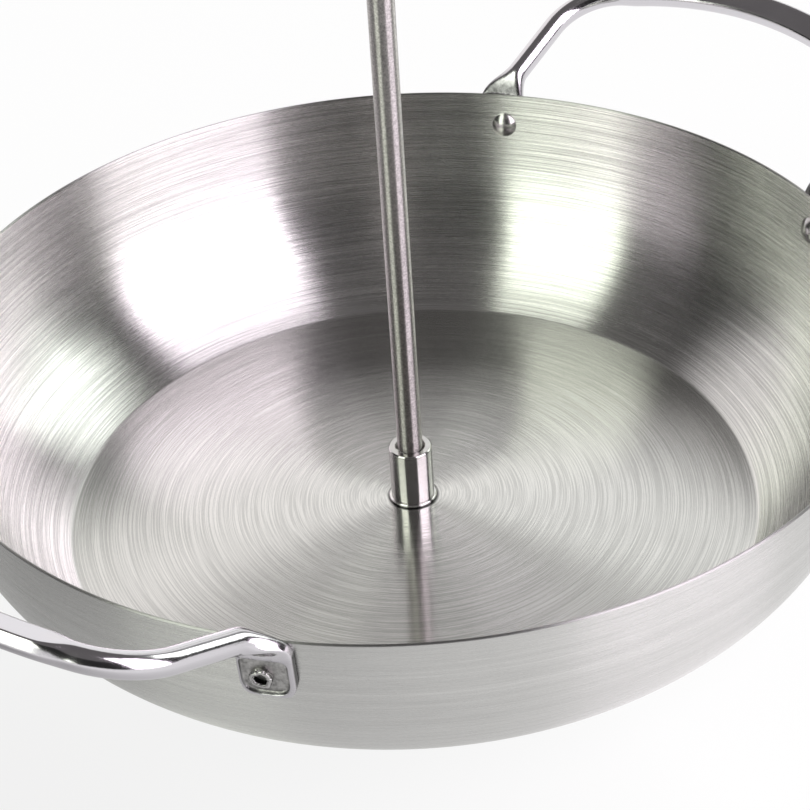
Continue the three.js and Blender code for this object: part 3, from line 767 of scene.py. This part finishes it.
def screw_rows(pan, skewer, sides):
    """A low-head screw: inside the drive a ring is the hexagon r = a / cos(angle to the nearest
    flat), and outside it the rings ease from the hexagon to a circle."""
    head_top = pan.crown - skewer.washer_height
    foot = head_top - skewer.screw_head_height
    head, shank = skewer.screw_head_radius / MM, skewer.screw_radius / MM
    under_stud, drive, depth, rim = 2.8, 1.5, 1.7, 1.3
    end = (skewer.shoulder - skewer.stud_length) / MM - under_stud
    top, low = head_top / MM, foot / MM
    round_angle = np.arange(sides) * TAU / sides
    flat = np.mod(round_angle + np.pi / 6, np.pi / 3) - np.pi / 6
    hexagon = drive / np.cos(flat)
    deep = low + depth
    drive_rings = np.array([(0.0, deep + 0.3), (0.7, deep + 0.1), (0.97, deep), (1.0, deep - 0.05),
                            (1.0, low + 0.15), (1.02, low + 0.05), (1.08, low)])
    hex_radius = drive_rings[:, :1] * hexagon
    hex_height = all_round(drive_rings[:, 1], sides)
    section = filleted([
        (drive * rim, low, 0), (head - 0.5, low, 0.3), (head, low + 0.45, 0.2), (head, top, 0.06),
        (shank, top, 0.08), (shank, end - 0.4, 0.1), (shank - 0.4, end, 0.1), (0, end, 0),
    ]) / MM
    radius = np.concatenate([hex_radius, all_round(section[:, 0], sides)])
    height = np.concatenate([hex_height, all_round(section[:, 1], sides)])
    return np.stack([radius * np.cos(round_angle), radius * np.sin(round_angle), height], -1) * MM


# Nodes

def add_node(tree, kind, inputs=None, **values):
    """One node with its settings; an input is a value or another node's output socket."""
    node = tree.nodes.new(kind)
    for key, value in values.items():
        setattr(node, key, value)
    for key, value in (inputs or {}).items():
        socket = node.inputs[key]
        if isinstance(value, bpy.types.NodeSocket):
            tree.links.new(value, socket)
        else:
            socket.default_value = value
    return node


def maths(tree, operation, *values):
    return add_node(tree, "ShaderNodeMath", dict(enumerate(values)), operation=operation).outputs[0]


def times(tree, first, *others):
    """The product of two or more values."""
    for value in others:
        first = maths(tree, "MULTIPLY", first, value)
    return first


def mix_values(tree, share, low, high):
    return add_node(tree, "ShaderNodeMix", {0: share, 2: low, 3: high}, data_type="FLOAT").outputs[0]


def mix_colours(tree, share, low, high):
    return add_node(tree, "ShaderNodeMix", {0: share, 6: low, 7: high}, data_type="RGBA").outputs[2]


def ranged(tree, value, low, high, to_low=0.0, to_high=1.0):
    ends = {0: value, 1: low, 2: high, 3: to_low, 4: to_high}
    return add_node(tree, "ShaderNodeMapRange", ends).outputs[0]


def vector_maths(tree, operation, inputs, output="Vector"):
    return add_node(tree, "ShaderNodeVectorMath", inputs, operation=operation).outputs[output]


def shaded(tree, colour_value, factor):
    """A colour made darker or lighter by a factor."""
    return vector_maths(tree, "SCALE", {0: colour_value, "Scale": factor})


def noise(tree, vector, scale, detail, roughness):
    inputs = {"Vector": vector, "Scale": scale, "Detail": detail, "Roughness": roughness}
    return add_node(tree, "ShaderNodeTexNoise", inputs).outputs["Fac"]


def new_group(name, vectors, values, outputs):
    """An empty shader node group: vector inputs, value inputs with their defaults and value
    outputs."""
    tree = bpy.data.node_groups.new(name, "ShaderNodeTree")
    for key in vectors:
        tree.interface.new_socket(key, in_out="INPUT", socket_type="NodeSocketVector")
    for key, default in values.items():
        socket = tree.interface.new_socket(key, in_out="INPUT", socket_type="NodeSocketFloat")
        socket.default_value = default
    for key in outputs:
        tree.interface.new_socket(key, in_out="OUTPUT", socket_type="NodeSocketFloat")
    return tree, tree.nodes.new("NodeGroupInput").outputs, tree.nodes.new("NodeGroupOutput").inputs


def brushed_lines():
    """Noise on places that are stretched along the brushing, in two lengths. Each output is one
    noise spread out from 0 to 1: lines, the finest grain, crisp single cuts and broad bands."""
    tree, given, out = new_group("brushed_lines", ["Long", "Short"], {"Share": 0.5},
                                 ["Lines", "Fine", "Cuts", "Broad"])
    long = noise(tree, given["Long"], 1.0, 2.0, 0.6)
    short = noise(tree, given["Short"], 1.0, 3.0, 0.7)
    for name, value, low, high in (
        ("Lines", mix_values(tree, given["Share"], long, short), 0.3, 0.7),
        ("Fine", noise(tree, given["Short"], 3.1, 3.0, 0.75), 0.3, 0.7),
        ("Cuts", noise(tree, given["Long"], 1.9, 0.0, 0.5), 0.41, 0.59),
        ("Broad", noise(tree, given["Long"], 0.14, 2.0, 0.6), 0.3, 0.7),
    ):
        tree.links.new(ranged(tree, value, low, high), out[name])
    return tree


def handling_marks():
    """Faint smudges and dust: soft clouds that raise roughness, and rare small specks."""
    tree, given, out = new_group("handling_marks", ["Vector"], {"Amount": 1.0}, ["Smudge", "Speck"])
    for name, value, low, high in (
        ("Smudge", noise(tree, given["Vector"], 34.0, 3.0, 0.6), 0.48, 0.72),
        ("Speck", noise(tree, given["Vector"], 900.0, 2.0, 0.5), 0.72, 0.78),
    ):
        share = ranged(tree, value, low, high)
        tree.links.new(times(tree, share, given["Amount"]), out[name])
    return tree


def cast_grain():
    """A fine uneven skin: two sizes of noise added, for bump heights."""
    tree, given, out = new_group("cast_grain", ["Vector"], {"Size": 1000.0}, ["Height"])
    coarse = noise(tree, given["Vector"], given["Size"], 2.0, 0.5)
    fine = noise(tree, given["Vector"], times(tree, given["Size"], 2.7), 2.0, 0.6)
    tree.links.new(mix_values(tree, 0.4, coarse, fine), out["Height"])
    return tree


def use(tree, group, **inputs):
    """The outputs of a group that is named after the function that builds it: it is built at
    its first use and shared after that."""
    built = bpy.data.node_groups.get(group.__name__) or group()
    return add_node(tree, "ShaderNodeGroup", inputs, node_tree=built).outputs


def steel(name):
    """A material with a metallic shader, and its tree."""
    material = bpy.data.materials.new(name)
    material.use_nodes = True
    tree = material.node_tree
    tree.nodes["Principled BSDF"].inputs["Metallic"].default_value = 1.0
    return material, tree


def finish_steel(tree, base, roughness, normal, anisotropy=0.0):
    """The shader's three maps. With anisotropy, highlights are drawn out across lines that run
    round the Z axis, a quarter turn from them."""
    inputs = tree.nodes["Principled BSDF"].inputs
    for key, value in (("Base Color", base), ("Roughness", roughness), ("Normal", normal)):
        tree.links.new(value, inputs[key])
    if anisotropy > 0:
        inputs["Anisotropic"].default_value = anisotropy
        inputs["Anisotropic Rotation"].default_value = 0.25
        tangent = add_node(tree, "ShaderNodeTangent", direction_type="RADIAL", axis="Z").outputs[0]
        tree.links.new(tangent, inputs["Tangent"])


def object_place(tree):
    return add_node(tree, "ShaderNodeTexCoord").outputs["Object"]


def wrapped(tree, around, along, height):
    """Places for lines that run round Z: the direction from the axis times around, and a height
    times along, so that noise on them is long round the piece and fine across it."""
    where = add_node(tree, "ShaderNodeSeparateXYZ", {0: object_place(tree)}).outputs
    flat = add_node(tree, "ShaderNodeCombineXYZ", {0: where[0], 1: where[1], 2: 0.0}).outputs[0]
    direction = vector_maths(tree, "NORMALIZE", {0: flat})
    stretched = vector_maths(tree, "SCALE", {0: direction, "Scale": around})
    parts = add_node(tree, "ShaderNodeSeparateXYZ", {0: stretched}).outputs
    place_along = {0: parts[0], 1: parts[1], 2: times(tree, height, along)}
    return add_node(tree, "ShaderNodeCombineXYZ", place_along).outputs[0]


def attribute(tree, name):
    return add_node(tree, "ShaderNodeAttribute", attribute_name=name).outputs["Fac"]


def height_of(tree):
    return add_node(tree, "ShaderNodeSeparateXYZ", {0: object_place(tree)}).outputs[2]


def bump(tree, height, strength, distance, normal=None):
    inputs = {"Height": height, "Strength": strength, "Distance": distance}
    if normal is not None:
        inputs["Normal"] = normal
    return add_node(tree, "ShaderNodeBump", inputs).outputs[0]


def ramp(tree, share, stops):
    """A colour ramp through stops of place and colour, less the two ends that it starts with."""
    node = add_node(tree, "ShaderNodeValToRGB", {0: share})
    elements = node.color_ramp.elements
    for spot, tint in stops:
        elements.new(spot).color = (*tint, 1)
    elements.remove(elements[-1])
    elements.remove(elements[0])
    return node.outputs[0]


def uneven(tree, roughness, lines, waver, marks, smudge):
    """Roughness that wavers with the finest grain and rises under smudges."""
    fine = mix_values(tree, lines["Fine"], -waver, waver)
    return smudged(tree, maths(tree, "ADD", roughness, fine), marks, smudge)


def smudged(tree, roughness, marks, smudge):
    """Roughness that rises under smudges."""
    return maths(tree, "ADD", roughness, times(tree, marks["Smudge"], smudge))


def pan_steel(looks):
    """Brushed sheet, by the attributes that come with the mesh. Lines, cuts and bands are
    strongest on the inside of the wall and faint outside. A dark ring of painted contact shade
    runs round the socket's foot."""
    material, tree = steel("brushed_pan_steel")
    along, outside, edge = (attribute(tree, name) for name in ("along", "outside", "edge"))
    wall_start, wall_end, foot_shade_start, foot_shade_end = 0.105, 0.118, 0.0052, 0.0059
    dust, socket_foot_shade, cut_edge = (0.25, 0.24, 0.23, 1), (0.05, 0.05, 0.05, 1), (0.3, 0.3, 0.3, 1)
    edge_roughness = 0.42
    on_wall_share = ranged(tree, along, wall_start, wall_end)
    inner = times(tree, on_wall_share, maths(tree, "SUBTRACT", 1.0, outside))

    def by_place(base, wall, outer):
        """One value inside on the base, one inside on the wall and one all over the outside."""
        return mix_values(tree, outside, mix_values(tree, inner, base, wall), outer)

    lines = use(tree, brushed_lines, Long=wrapped(tree, 1.1, 2100.0, along),
                Short=wrapped(tree, 5.0, 3200.0, along), Share=mix_values(tree, on_wall_share, 0.35, 0.55))
    marks = use(tree, handling_marks, Vector=object_place(tree), Amount=0.6)
    tone = times(
        tree,
        ranged(tree, lines["Lines"], 0.15, 0.85, by_place(0.93, 0.8, 0.92), by_place(1.02, 1.13, 1.02)),
        mix_values(tree, lines["Cuts"], by_place(0.87, 0.79, 0.99), by_place(1.09, 1.14, 1.01)),
        mix_values(tree, lines["Broad"], by_place(0.985, 0.985, 0.95), by_place(1.01, 1.01, 1.05)),
    )
    base = shaded(tree, tuple(looks.brushed), tone)
    worn = mix_colours(tree, times(tree, marks["Speck"], 0.25), base, dust)
    # Painted contact shade: a dark ring on the base round the socket's foot.
    with_foot_shade = mix_colours(tree, ranged(tree, along, foot_shade_start, foot_shade_end, 0.85, 0.0), worn, socket_foot_shade)
    rough = mix_values(tree, on_wall_share, looks.brushed_roughness - 0.04, looks.brushed_roughness)
    rough = uneven(tree, rough, lines, 0.04, marks, 0.03)
    depth = maths(tree, "ADD", lines["Lines"], times(tree, lines["Cuts"], 0.4))
    finish_steel(tree, mix_colours(tree, times(tree, edge, 0.5), with_foot_shade, cut_edge),
                 mix_values(tree, edge, rough, edge_roughness),
                 bump(tree, depth, mix_values(tree, inner, 0.5, 0.3), 0.03 * MM), anisotropy=1.0)
    return material


def cast_steel(looks):
    """Polished casting. The recess stays as cast, matt and mottled, and its sloping sides carry
    painted shade; the inside of the neck is matt, mottled and much darker. The lug's sides and back against
    the wall are painted dark as shade."""
    material, tree = steel("polished_cast_steel")
    where = object_place(tree)
    recess, face, neck, lug_side_shade = (attribute(tree, name) for name in ("recess", "lug", "neck", "lug_side_shade"))
    matt = ranged(tree, recess, 0.55, 0.95)
    rugged = maths(tree, "MAXIMUM", matt, neck)
    marks = use(tree, handling_marks, Vector=where, Amount=1.0)
    pits, waves, blotches = (use(tree, cast_grain, Vector=where, Size=size)["Height"]
                             for size in (1500.0, 95.0, 420.0))
    slope_top_shade, slope_middle_shade, recess_floor = (0.2, 0.2, 0.2), (0.26, 0.26, 0.26), (0.54, 0.53, 0.52)
    shade_black, matt_roughness = (0.03, 0.03, 0.03, 1), 0.42
    # Painted shade on the recess's sloping sides; the recess floor keeps the matt cast colour.
    recess_colour_and_shade = ramp(tree, recess, ((0.02, looks.cast), (0.3, slope_top_shade), (0.55, slope_middle_shade),
                                (0.95, recess_floor)))
    mottled = mix_values(tree, rugged, 1.0, ranged(tree, blotches, 0.35, 0.6, 0.5, 1.1))
    shade = times(tree, mottled, mix_values(tree, face, 1.0, 0.86), mix_values(tree, neck, 1.0, 0.28))
    rough = smudged(tree, looks.cast_roughness, marks, 0.05)
    rough = maths(tree, "ADD", rough, times(tree, maths(tree, "MAXIMUM", face, neck), 0.12))
    pitted = bump(tree, pits, mix_values(tree, rugged, 0.0, 0.5), 0.12 * MM)
    # Painted shade: the lug's sides and back go nearly black.
    base = mix_colours(tree, ranged(tree, lug_side_shade, 0.0, 0.6, 0.0, 0.93), shaded(tree, recess_colour_and_shade, shade), shade_black)
    finish_steel(tree, base, mix_values(tree, matt, rough, matt_roughness),
                 bump(tree, waves, 0.35, 0.3 * MM, pitted))
    return material


def turned_steel(name, tint, roughness, around, fineness, line_strength, anisotropy, smudge):
    """Steel with fine lines round Z: colour, roughness and bump follow the same lines. Around
    stretches them round the piece, and fineness is how close they lie, in lines a metre."""
    material, tree = steel(name)
    height = height_of(tree)
    lines = use(tree, brushed_lines, Long=wrapped(tree, around, fineness, height),
                Short=wrapped(tree, around * 4, fineness * 1.3, height), Share=0.4)
    marks = use(tree, handling_marks, Vector=object_place(tree), Amount=smudge)
    finish_steel(tree, shaded(tree, tuple(tint), mix_values(tree, lines["Lines"], 0.9, 1.05)),
                 uneven(tree, roughness, lines, 0.03, marks, 0.06),
                 bump(tree, lines["Lines"], line_strength, 0.01 * MM), anisotropy)
    return material


def rod_steel(looks):
    """Ground bar: short lines round Z, which draw highlights out along the bar, and fine grain."""
    material, tree = steel("ground_bar_steel")
    height = height_of(tree)
    lines = use(tree, brushed_lines, Long=wrapped(tree, 6.0, 2600.0, height),
                Short=wrapped(tree, 14.0, 3000.0, height), Share=0.5)
    marks = use(tree, handling_marks, Vector=object_place(tree), Amount=1.0)
    grain = use(tree, cast_grain, Vector=object_place(tree), Size=1500.0)["Height"]
    mottled = ranged(tree, grain, 0.36, 0.64, 0.66, 1.3)
    tone = times(tree, mix_values(tree, lines["Lines"], 0.84, 1.1), mottled)
    finish_steel(tree, shaded(tree, tuple(looks.rod), tone),
                 uneven(tree, looks.rod_roughness, lines, 0.04, marks, 0.06),
                 bump(tree, lines["Lines"], 0.3, 0.02 * MM), anisotropy=1.0)
    return material


def plain_polished(name, tint, roughness, brightness):
    """Polished steel with a trace of grain and smudges, for pieces that stand at any angle. The
    attribute deep paints shade: a hollow goes black."""
    material, tree = steel(name)
    where = object_place(tree)
    marks = use(tree, handling_marks, Vector=where, Amount=1.0)
    grain = use(tree, cast_grain, Vector=where, Size=900.0)["Height"]
    tone = ranged(tree, grain, 0.3, 0.7, 0.93 * brightness, 1.04 * brightness)
    shade_black = (0.02, 0.02, 0.02, 1)
    # Painted shade: black in the hollow.
    base = mix_colours(tree, attribute(tree, "deep"), shaded(tree, tuple(tint), tone), shade_black)
    finish_steel(tree, base, smudged(tree, roughness, marks, 0.06), bump(tree, grain, 0.15, 0.05 * MM))
    return material


# Operators

class PanOperator:
    """What every operator here shares."""

    bl_options = {"REGISTER", "UNDO"}


class SKEWERPAN_OT_body(PanOperator, bpy.types.Operator):
    """Build the pan's base and wall"""

    bl_idname = "skewer_pan.body"
    bl_label = "Pan body"

    def execute(self, context):
        rows, attributes = pan_rows(settings("pan"), sides=288)
        mesh = skin("pan_body", rows, wrap=True, attributes=attributes)
        place("pan_body", mesh, "pan", ["pan_shell"], pan_steel(settings("steel")))
        return {"FINISHED"}


class SKEWERPAN_OT_handles(PanOperator, bpy.types.Operator):
    """Build the two cast loop handles"""

    bl_idname = "skewer_pan.handles"
    bl_label = "Loop handles"

    def execute(self, context):
        material = cast_steel(settings("steel"))
        rows, attributes = handle_rows(settings("pan"), settings("handle"), settings("lug"),
                                       settings("rivet"), sides=144)
        for side, sign in (("right", 1), ("left", -1)):
            name = "loop_handle_" + side
            mesh = skin(name, rows * np.array([sign, sign, 1]), attributes=attributes)
            place(name, mesh, "pan", ["handle_" + side], material)
        return {"FINISHED"}


class SKEWERPAN_OT_rivets(PanOperator, bpy.types.Operator):
    """Build the four hollow rivets"""

    bl_idname = "skewer_pan.rivets"
    bl_label = "Hollow rivets"

    def execute(self, context):
        pan, rivet, looks = settings("pan"), settings("rivet"), settings("steel")
        material = plain_polished("polished_rivet_steel", looks.polished, looks.rivet_roughness,
                                  brightness=0.78)
        for end, turn in (("right", 0.0), ("left", np.pi)):
            for where, side in (("front", -1), ("back", 1)):
                node = f"rivet_{end}_{where}"
                rows, attributes = rivet_rows(pan, settings("lug"), rivet, sides=96, phase=1.7 * side + turn)
                rows = to_rivet(pan, settings("handle"), rivet, rows, side, turn)
                mesh = skin("hollow_" + node, rows, attributes=attributes)
                place("hollow_" + node, mesh, "pan", [node], material)
        return {"FINISHED"}


class SKEWERPAN_OT_socket(PanOperator, bpy.types.Operator):
    """Build the socket and the bead ring under it"""

    bl_idname = "skewer_pan.socket"
    bl_label = "Socket and ring"

    def execute(self, context):
        pan, skewer, looks = settings("pan"), settings("skewer"), settings("steel")
        socket = turned_steel("turned_socket_steel", looks.socket, looks.socket_roughness, around=2.0,
                              fineness=2500.0, line_strength=0.12, anisotropy=0.75, smudge=0.6)
        bead = plain_polished("polished_bead_steel", looks.polished, looks.bead_roughness,
                              brightness=1.1)
        for name, rows, node, wrap, material in (
            ("skewer_socket", socket_rows(pan, skewer, sides=96), "socket", False, socket),
            ("bead_ring", ring_rows(pan, skewer, sides=96), "seat_ring", True, bead),
        ):
            place(name, skin(name, rows, wrap=wrap), "pan", [node], material)
        return {"FINISHED"}


class SKEWERPAN_OT_fasteners(PanOperator, bpy.types.Operator):
    """Build the screw and toothed washer under the base and the skewer's threaded stud"""

    bl_idname = "skewer_pan.fasteners"
    bl_label = "Screw, washer and stud"

    def execute(self, context):
        pan, skewer, looks = settings("pan"), settings("skewer"), settings("steel")
        material = turned_steel("fastener_steel", looks.fastener, looks.fastener_roughness, around=1.5,
                                fineness=1800.0, line_strength=0.2, anisotropy=0.4, smudge=1.0)
        for name, rows, node, body, wrap in (
            ("toothed_washer", washer_rows(pan, skewer, sides=224), "lock_washer", "pan", True),
            ("low_head_screw", screw_rows(pan, skewer, sides=96), "socket_screw", "pan", False),
            ("threaded_stud", stud_rows(skewer, sides=64), "skewer_stud", "skewer_thread", False),
        ):
            place(name, skin(name, rows, wrap=wrap), body, [node], material)
        return {"FINISHED"}


class SKEWERPAN_OT_skewer(PanOperator, bpy.types.Operator):
    """Build the skewer"""

    bl_idname = "skewer_pan.skewer"
    bl_label = "Skewer"

    def execute(self, context):
        mesh = skin("skewer_bar", rod_rows(settings("pan"), settings("skewer"), sides=96))
        place("skewer_bar", mesh, "skewer", ["skewer_rod"], rod_steel(settings("steel")))
        return {"FINISHED"}


# Stage, seen from the camera

CAMERA_PLACE = np.array([-0.4439, -0.4000, 0.4653])
CAMERA_TARGET = np.array([0.0394, 0.0366, 0.0])
CAMERA_ROLL = -3.818
SENSOR_WIDTH = 36.0
FORWARD = np.array([0.742, 0.670, 0.0])
RIGHT = np.array([0.670, -0.742, 0.0])
UP = np.array([0.0, 0.0, 1.0])
LAMP_DISTANCE = 2.0
FLOOR_HALF = 4.0
# Painted shadows on the floor near the pan: one seen by the camera, a deeper one in reflections.
CAMERA_SHADOW_PLACE = -0.24 * RIGHT - 0.3 * FORWARD
REFLECTED_SHADOW_PLACE = -0.33 * RIGHT - 0.17 * FORWARD


def toward(azimuth, elevation):
    """A direction: azimuth in degrees from the camera's side of the pan, positive to the
    camera's right, and elevation above the floor."""
    turn, rise = np.radians(azimuth), np.radians(elevation)
    flat = np.sin(turn) * RIGHT - np.cos(turn) * FORWARD
    return np.cos(rise) * flat + np.sin(rise) * UP


def softbox(name, azimuth, elevation, roll, width, low, high, tint, radiance):
    """A rectangular lamp in a plane that faces the pan from azimuth and elevation, leaned by
    roll in that plane, from low to high along its own upright. Its power gives the stated
    radiance: power is radiance times its area times pi."""
    lamp = bpy.data.lights.new(name, "AREA")
    lamp.shape = "RECTANGLE"
    lamp.size, lamp.size_y = width, high - low
    lamp.color = tuple(tint)
    lamp.energy = radiance * width * (high - low) * np.pi
    lamp_object = bpy.data.objects.new(name, lamp)
    aim = Vector(toward(azimuth, elevation))
    turn = (-aim).to_track_quat("-Z", "Y") @ Quaternion((0, 0, 1), np.radians(roll))
    lamp_object.location = aim * LAMP_DISTANCE + turn @ Vector((0, (low + high) / 2, 0))
    lamp_object.rotation_euler = turn.to_euler()
    bpy.context.scene.collection.objects.link(lamp_object)
    lamp_object.visible_camera = False


def backdrop_world(strength):
    """White where the camera looks. In reflections, backdrops by azimuth up to a height, and a
    dim room above them and towards the camera. The ramp's places are azimuths in degrees."""
    backdrop_top, room_start = np.sin(np.radians(42)), np.sin(np.radians(47))
    dark, room = (0.02, 0.02, 0.02), (0.12, 0.115, 0.115, 1)
    world = bpy.data.worlds.new("studio")
    world.use_nodes = True
    tree = world.node_tree
    tree.nodes.clear()
    direction = add_node(tree, "ShaderNodeTexCoord").outputs["Generated"]

    def along(axis):
        return vector_maths(tree, "DOT_PRODUCT", {0: direction, 1: tuple(axis)}, "Value")

    azimuth = maths(tree, "ARCTAN2", along(RIGHT), along(-FORWARD))
    stops = [
        (-180, (1.0, 0.98, 0.95)), (-118, (1.0, 0.96, 0.97)), (-110, dark), (116, dark),
        (126, (0.5, 0.5, 0.5)), (134, (0.2, 0.2, 0.2)), (146, (0.25, 0.25, 0.25)),
        (153, (0.98, 1.0, 0.97)), (180, (1.0, 1.0, 1.0)),
    ]
    sides = ramp(tree, ranged(tree, azimuth, -np.pi, np.pi),
                 [((azimuth_place + 180) / 360, tint) for azimuth_place, tint in stops])
    low = ranged(tree, along(UP), backdrop_top, room_start, 1.0, 0.0)
    seen = mix_colours(tree, low, room, sides)
    path = add_node(tree, "ShaderNodeLightPath").outputs
    shown = mix_colours(tree, path["Is Camera Ray"], seen, (1, 1, 1, 1))
    bright = mix_values(tree, path["Is Camera Ray"], strength, 1.0)
    background = add_node(tree, "ShaderNodeBackground", {"Color": shown, "Strength": bright}).outputs[0]
    out = tree.nodes.new("ShaderNodeOutputWorld")
    tree.links.new(background, out.inputs["Surface"])
    bpy.context.scene.world = world


def floor_material(tint):
    """Pale floor that shows the white background to the camera and to reflections, and keeps
    the object's shadow in the rest of its colour. Its glow fades round one place for the camera
    and round another in reflections: painted shadows near the pan."""
    glow_share = 0.92
    material = bpy.data.materials.new("pale_floor")
    material.use_nodes = True
    tree = material.node_tree
    tree.nodes.clear()
    path = add_node(tree, "ShaderNodeLightPath").outputs
    mirrored = maths(tree, "MAXIMUM", path["Is Glossy Ray"], path["Is Transmission Ray"])
    seen = maths(tree, "MAXIMUM", path["Is Camera Ray"], mirrored)
    diffuse = add_node(tree, "ShaderNodeBsdfDiffuse", {"Color": (*tint, 1)}).outputs[0]

    def faded(middle, start, end, least):
        away = vector_maths(tree, "DISTANCE", {0: object_place(tree), 1: tuple(middle)}, "Value")
        return ranged(tree, away, start, end, least, 1.0)

    # Painted shadows: the glow dims round one place for the camera and, deeper, round another in
    # reflections.
    strength = mix_values(tree, path["Is Camera Ray"], faded(REFLECTED_SHADOW_PLACE, 0.1, 0.42, 0.3),
                          faded(CAMERA_SHADOW_PLACE, 0.06, 0.36, 0.78))
    glow = add_node(tree, "ShaderNodeEmission", {"Color": (1, 1, 1, 1), "Strength": strength}).outputs[0]
    mixed = add_node(tree, "ShaderNodeMixShader", {0: times(tree, seen, glow_share), 1: diffuse, 2: glow})
    out = tree.nodes.new("ShaderNodeOutputMaterial")
    tree.links.new(mixed.outputs[0], out.inputs["Surface"])
    return material


class SKEWERPAN_OT_stage(PanOperator, bpy.types.Operator):
    """Set the floor, the lamps, the backdrop and the camera"""

    bl_idname = "skewer_pan.stage"
    bl_label = "Stage, lamps and camera"

    def execute(self, context):
        looks = settings("stage")
        corners = [(x * FLOOR_HALF, y * FLOOR_HALF, 0) for x, y in ((-1, -1), (1, -1), (1, 1), (-1, 1))]
        mesh = bpy.data.meshes.new("floor")
        mesh.from_pydata(corners, [], [(0, 1, 2, 3)])
        mesh.materials.append(floor_material(looks.floor))
        floor = bpy.data.objects.new("floor", mesh)
        context.scene.collection.objects.link(floor)
        backdrop_world(looks.backdrop)
        softbox("softbox_right", azimuth=55, elevation=19, roll=-12, width=1.62, low=-0.72, high=2.18,
                tint=looks.right_lamp, radiance=looks.right_radiance)
        softbox("softbox_left", azimuth=-45, elevation=16, roll=15, width=1.05, low=-0.6, high=3.0,
                tint=looks.left_lamp, radiance=looks.left_radiance)
        softbox("softbox_back", azimuth=118.5, elevation=21, roll=0, width=0.95, low=-0.77, high=0.84,
                tint=looks.back_lamp, radiance=looks.back_radiance)
        camera = bpy.data.cameras.new("camera")
        camera.lens = looks.focal
        camera.sensor_width = SENSOR_WIDTH
        camera.clip_start = 0.01
        camera_object = bpy.data.objects.new("camera", camera)
        camera_object.location = CAMERA_PLACE
        aim = Vector(CAMERA_TARGET - CAMERA_PLACE).to_track_quat("-Z", "Y")
        roll = Quaternion((0, 0, 1), np.radians(CAMERA_ROLL))
        camera_object.rotation_euler = (aim @ roll).to_euler()
        context.scene.collection.objects.link(camera_object)
        context.scene.camera = camera_object
        context.scene.view_settings.view_transform = "Standard"
        return {"FINISHED"}


class SKEWERPAN_PT_sidebar(bpy.types.Panel):
    bl_label = "Barbecue skewer pan"
    bl_idname = "SKEWERPAN_PT_sidebar"
    bl_space_type = "VIEW_3D"
    bl_region_type = "UI"
    bl_category = "Skewer pan"

    def draw(self, context):
        for group in GROUPS:
            box = self.layout.box()
            box.label(text=group.capitalize())
            sizes = settings(group)
            for key in sizes.bl_rna.properties.keys():
                if key not in ("rna_type", "name"):
                    box.prop(sizes, key)
        for operator in OPERATORS:
            self.layout.operator(operator.bl_idname)


GROUPS = {
    "pan": PanSizes,
    "handle": HandleSizes,
    "lug": LugSizes,
    "rivet": RivetSizes,
    "skewer": SkewerSizes,
    "steel": SteelLooks,
    "stage": StageLooks,
}
OPERATORS = (
    SKEWERPAN_OT_body,
    SKEWERPAN_OT_handles,
    SKEWERPAN_OT_rivets,
    SKEWERPAN_OT_socket,
    SKEWERPAN_OT_fasteners,
    SKEWERPAN_OT_skewer,
    SKEWERPAN_OT_stage,
)
CLASSES = (*GROUPS.values(), *OPERATORS, SKEWERPAN_PT_sidebar)


def register():
    for cls in CLASSES:
        bpy.utils.register_class(cls)
    for group, cls in GROUPS.items():
        setattr(bpy.types.Scene, "skewer_pan_" + group, PointerProperty(type=cls))


def unregister():
    for group in GROUPS:
        delattr(bpy.types.Scene, "skewer_pan_" + group)
    for cls in reversed(CLASSES):
        bpy.utils.unregister_class(cls)


def main():
    register()
    for operator in OPERATORS:
        family, action = operator.bl_idname.split(".")
        getattr(getattr(bpy.ops, family), action)()


if __name__ == "__main__":
    main()
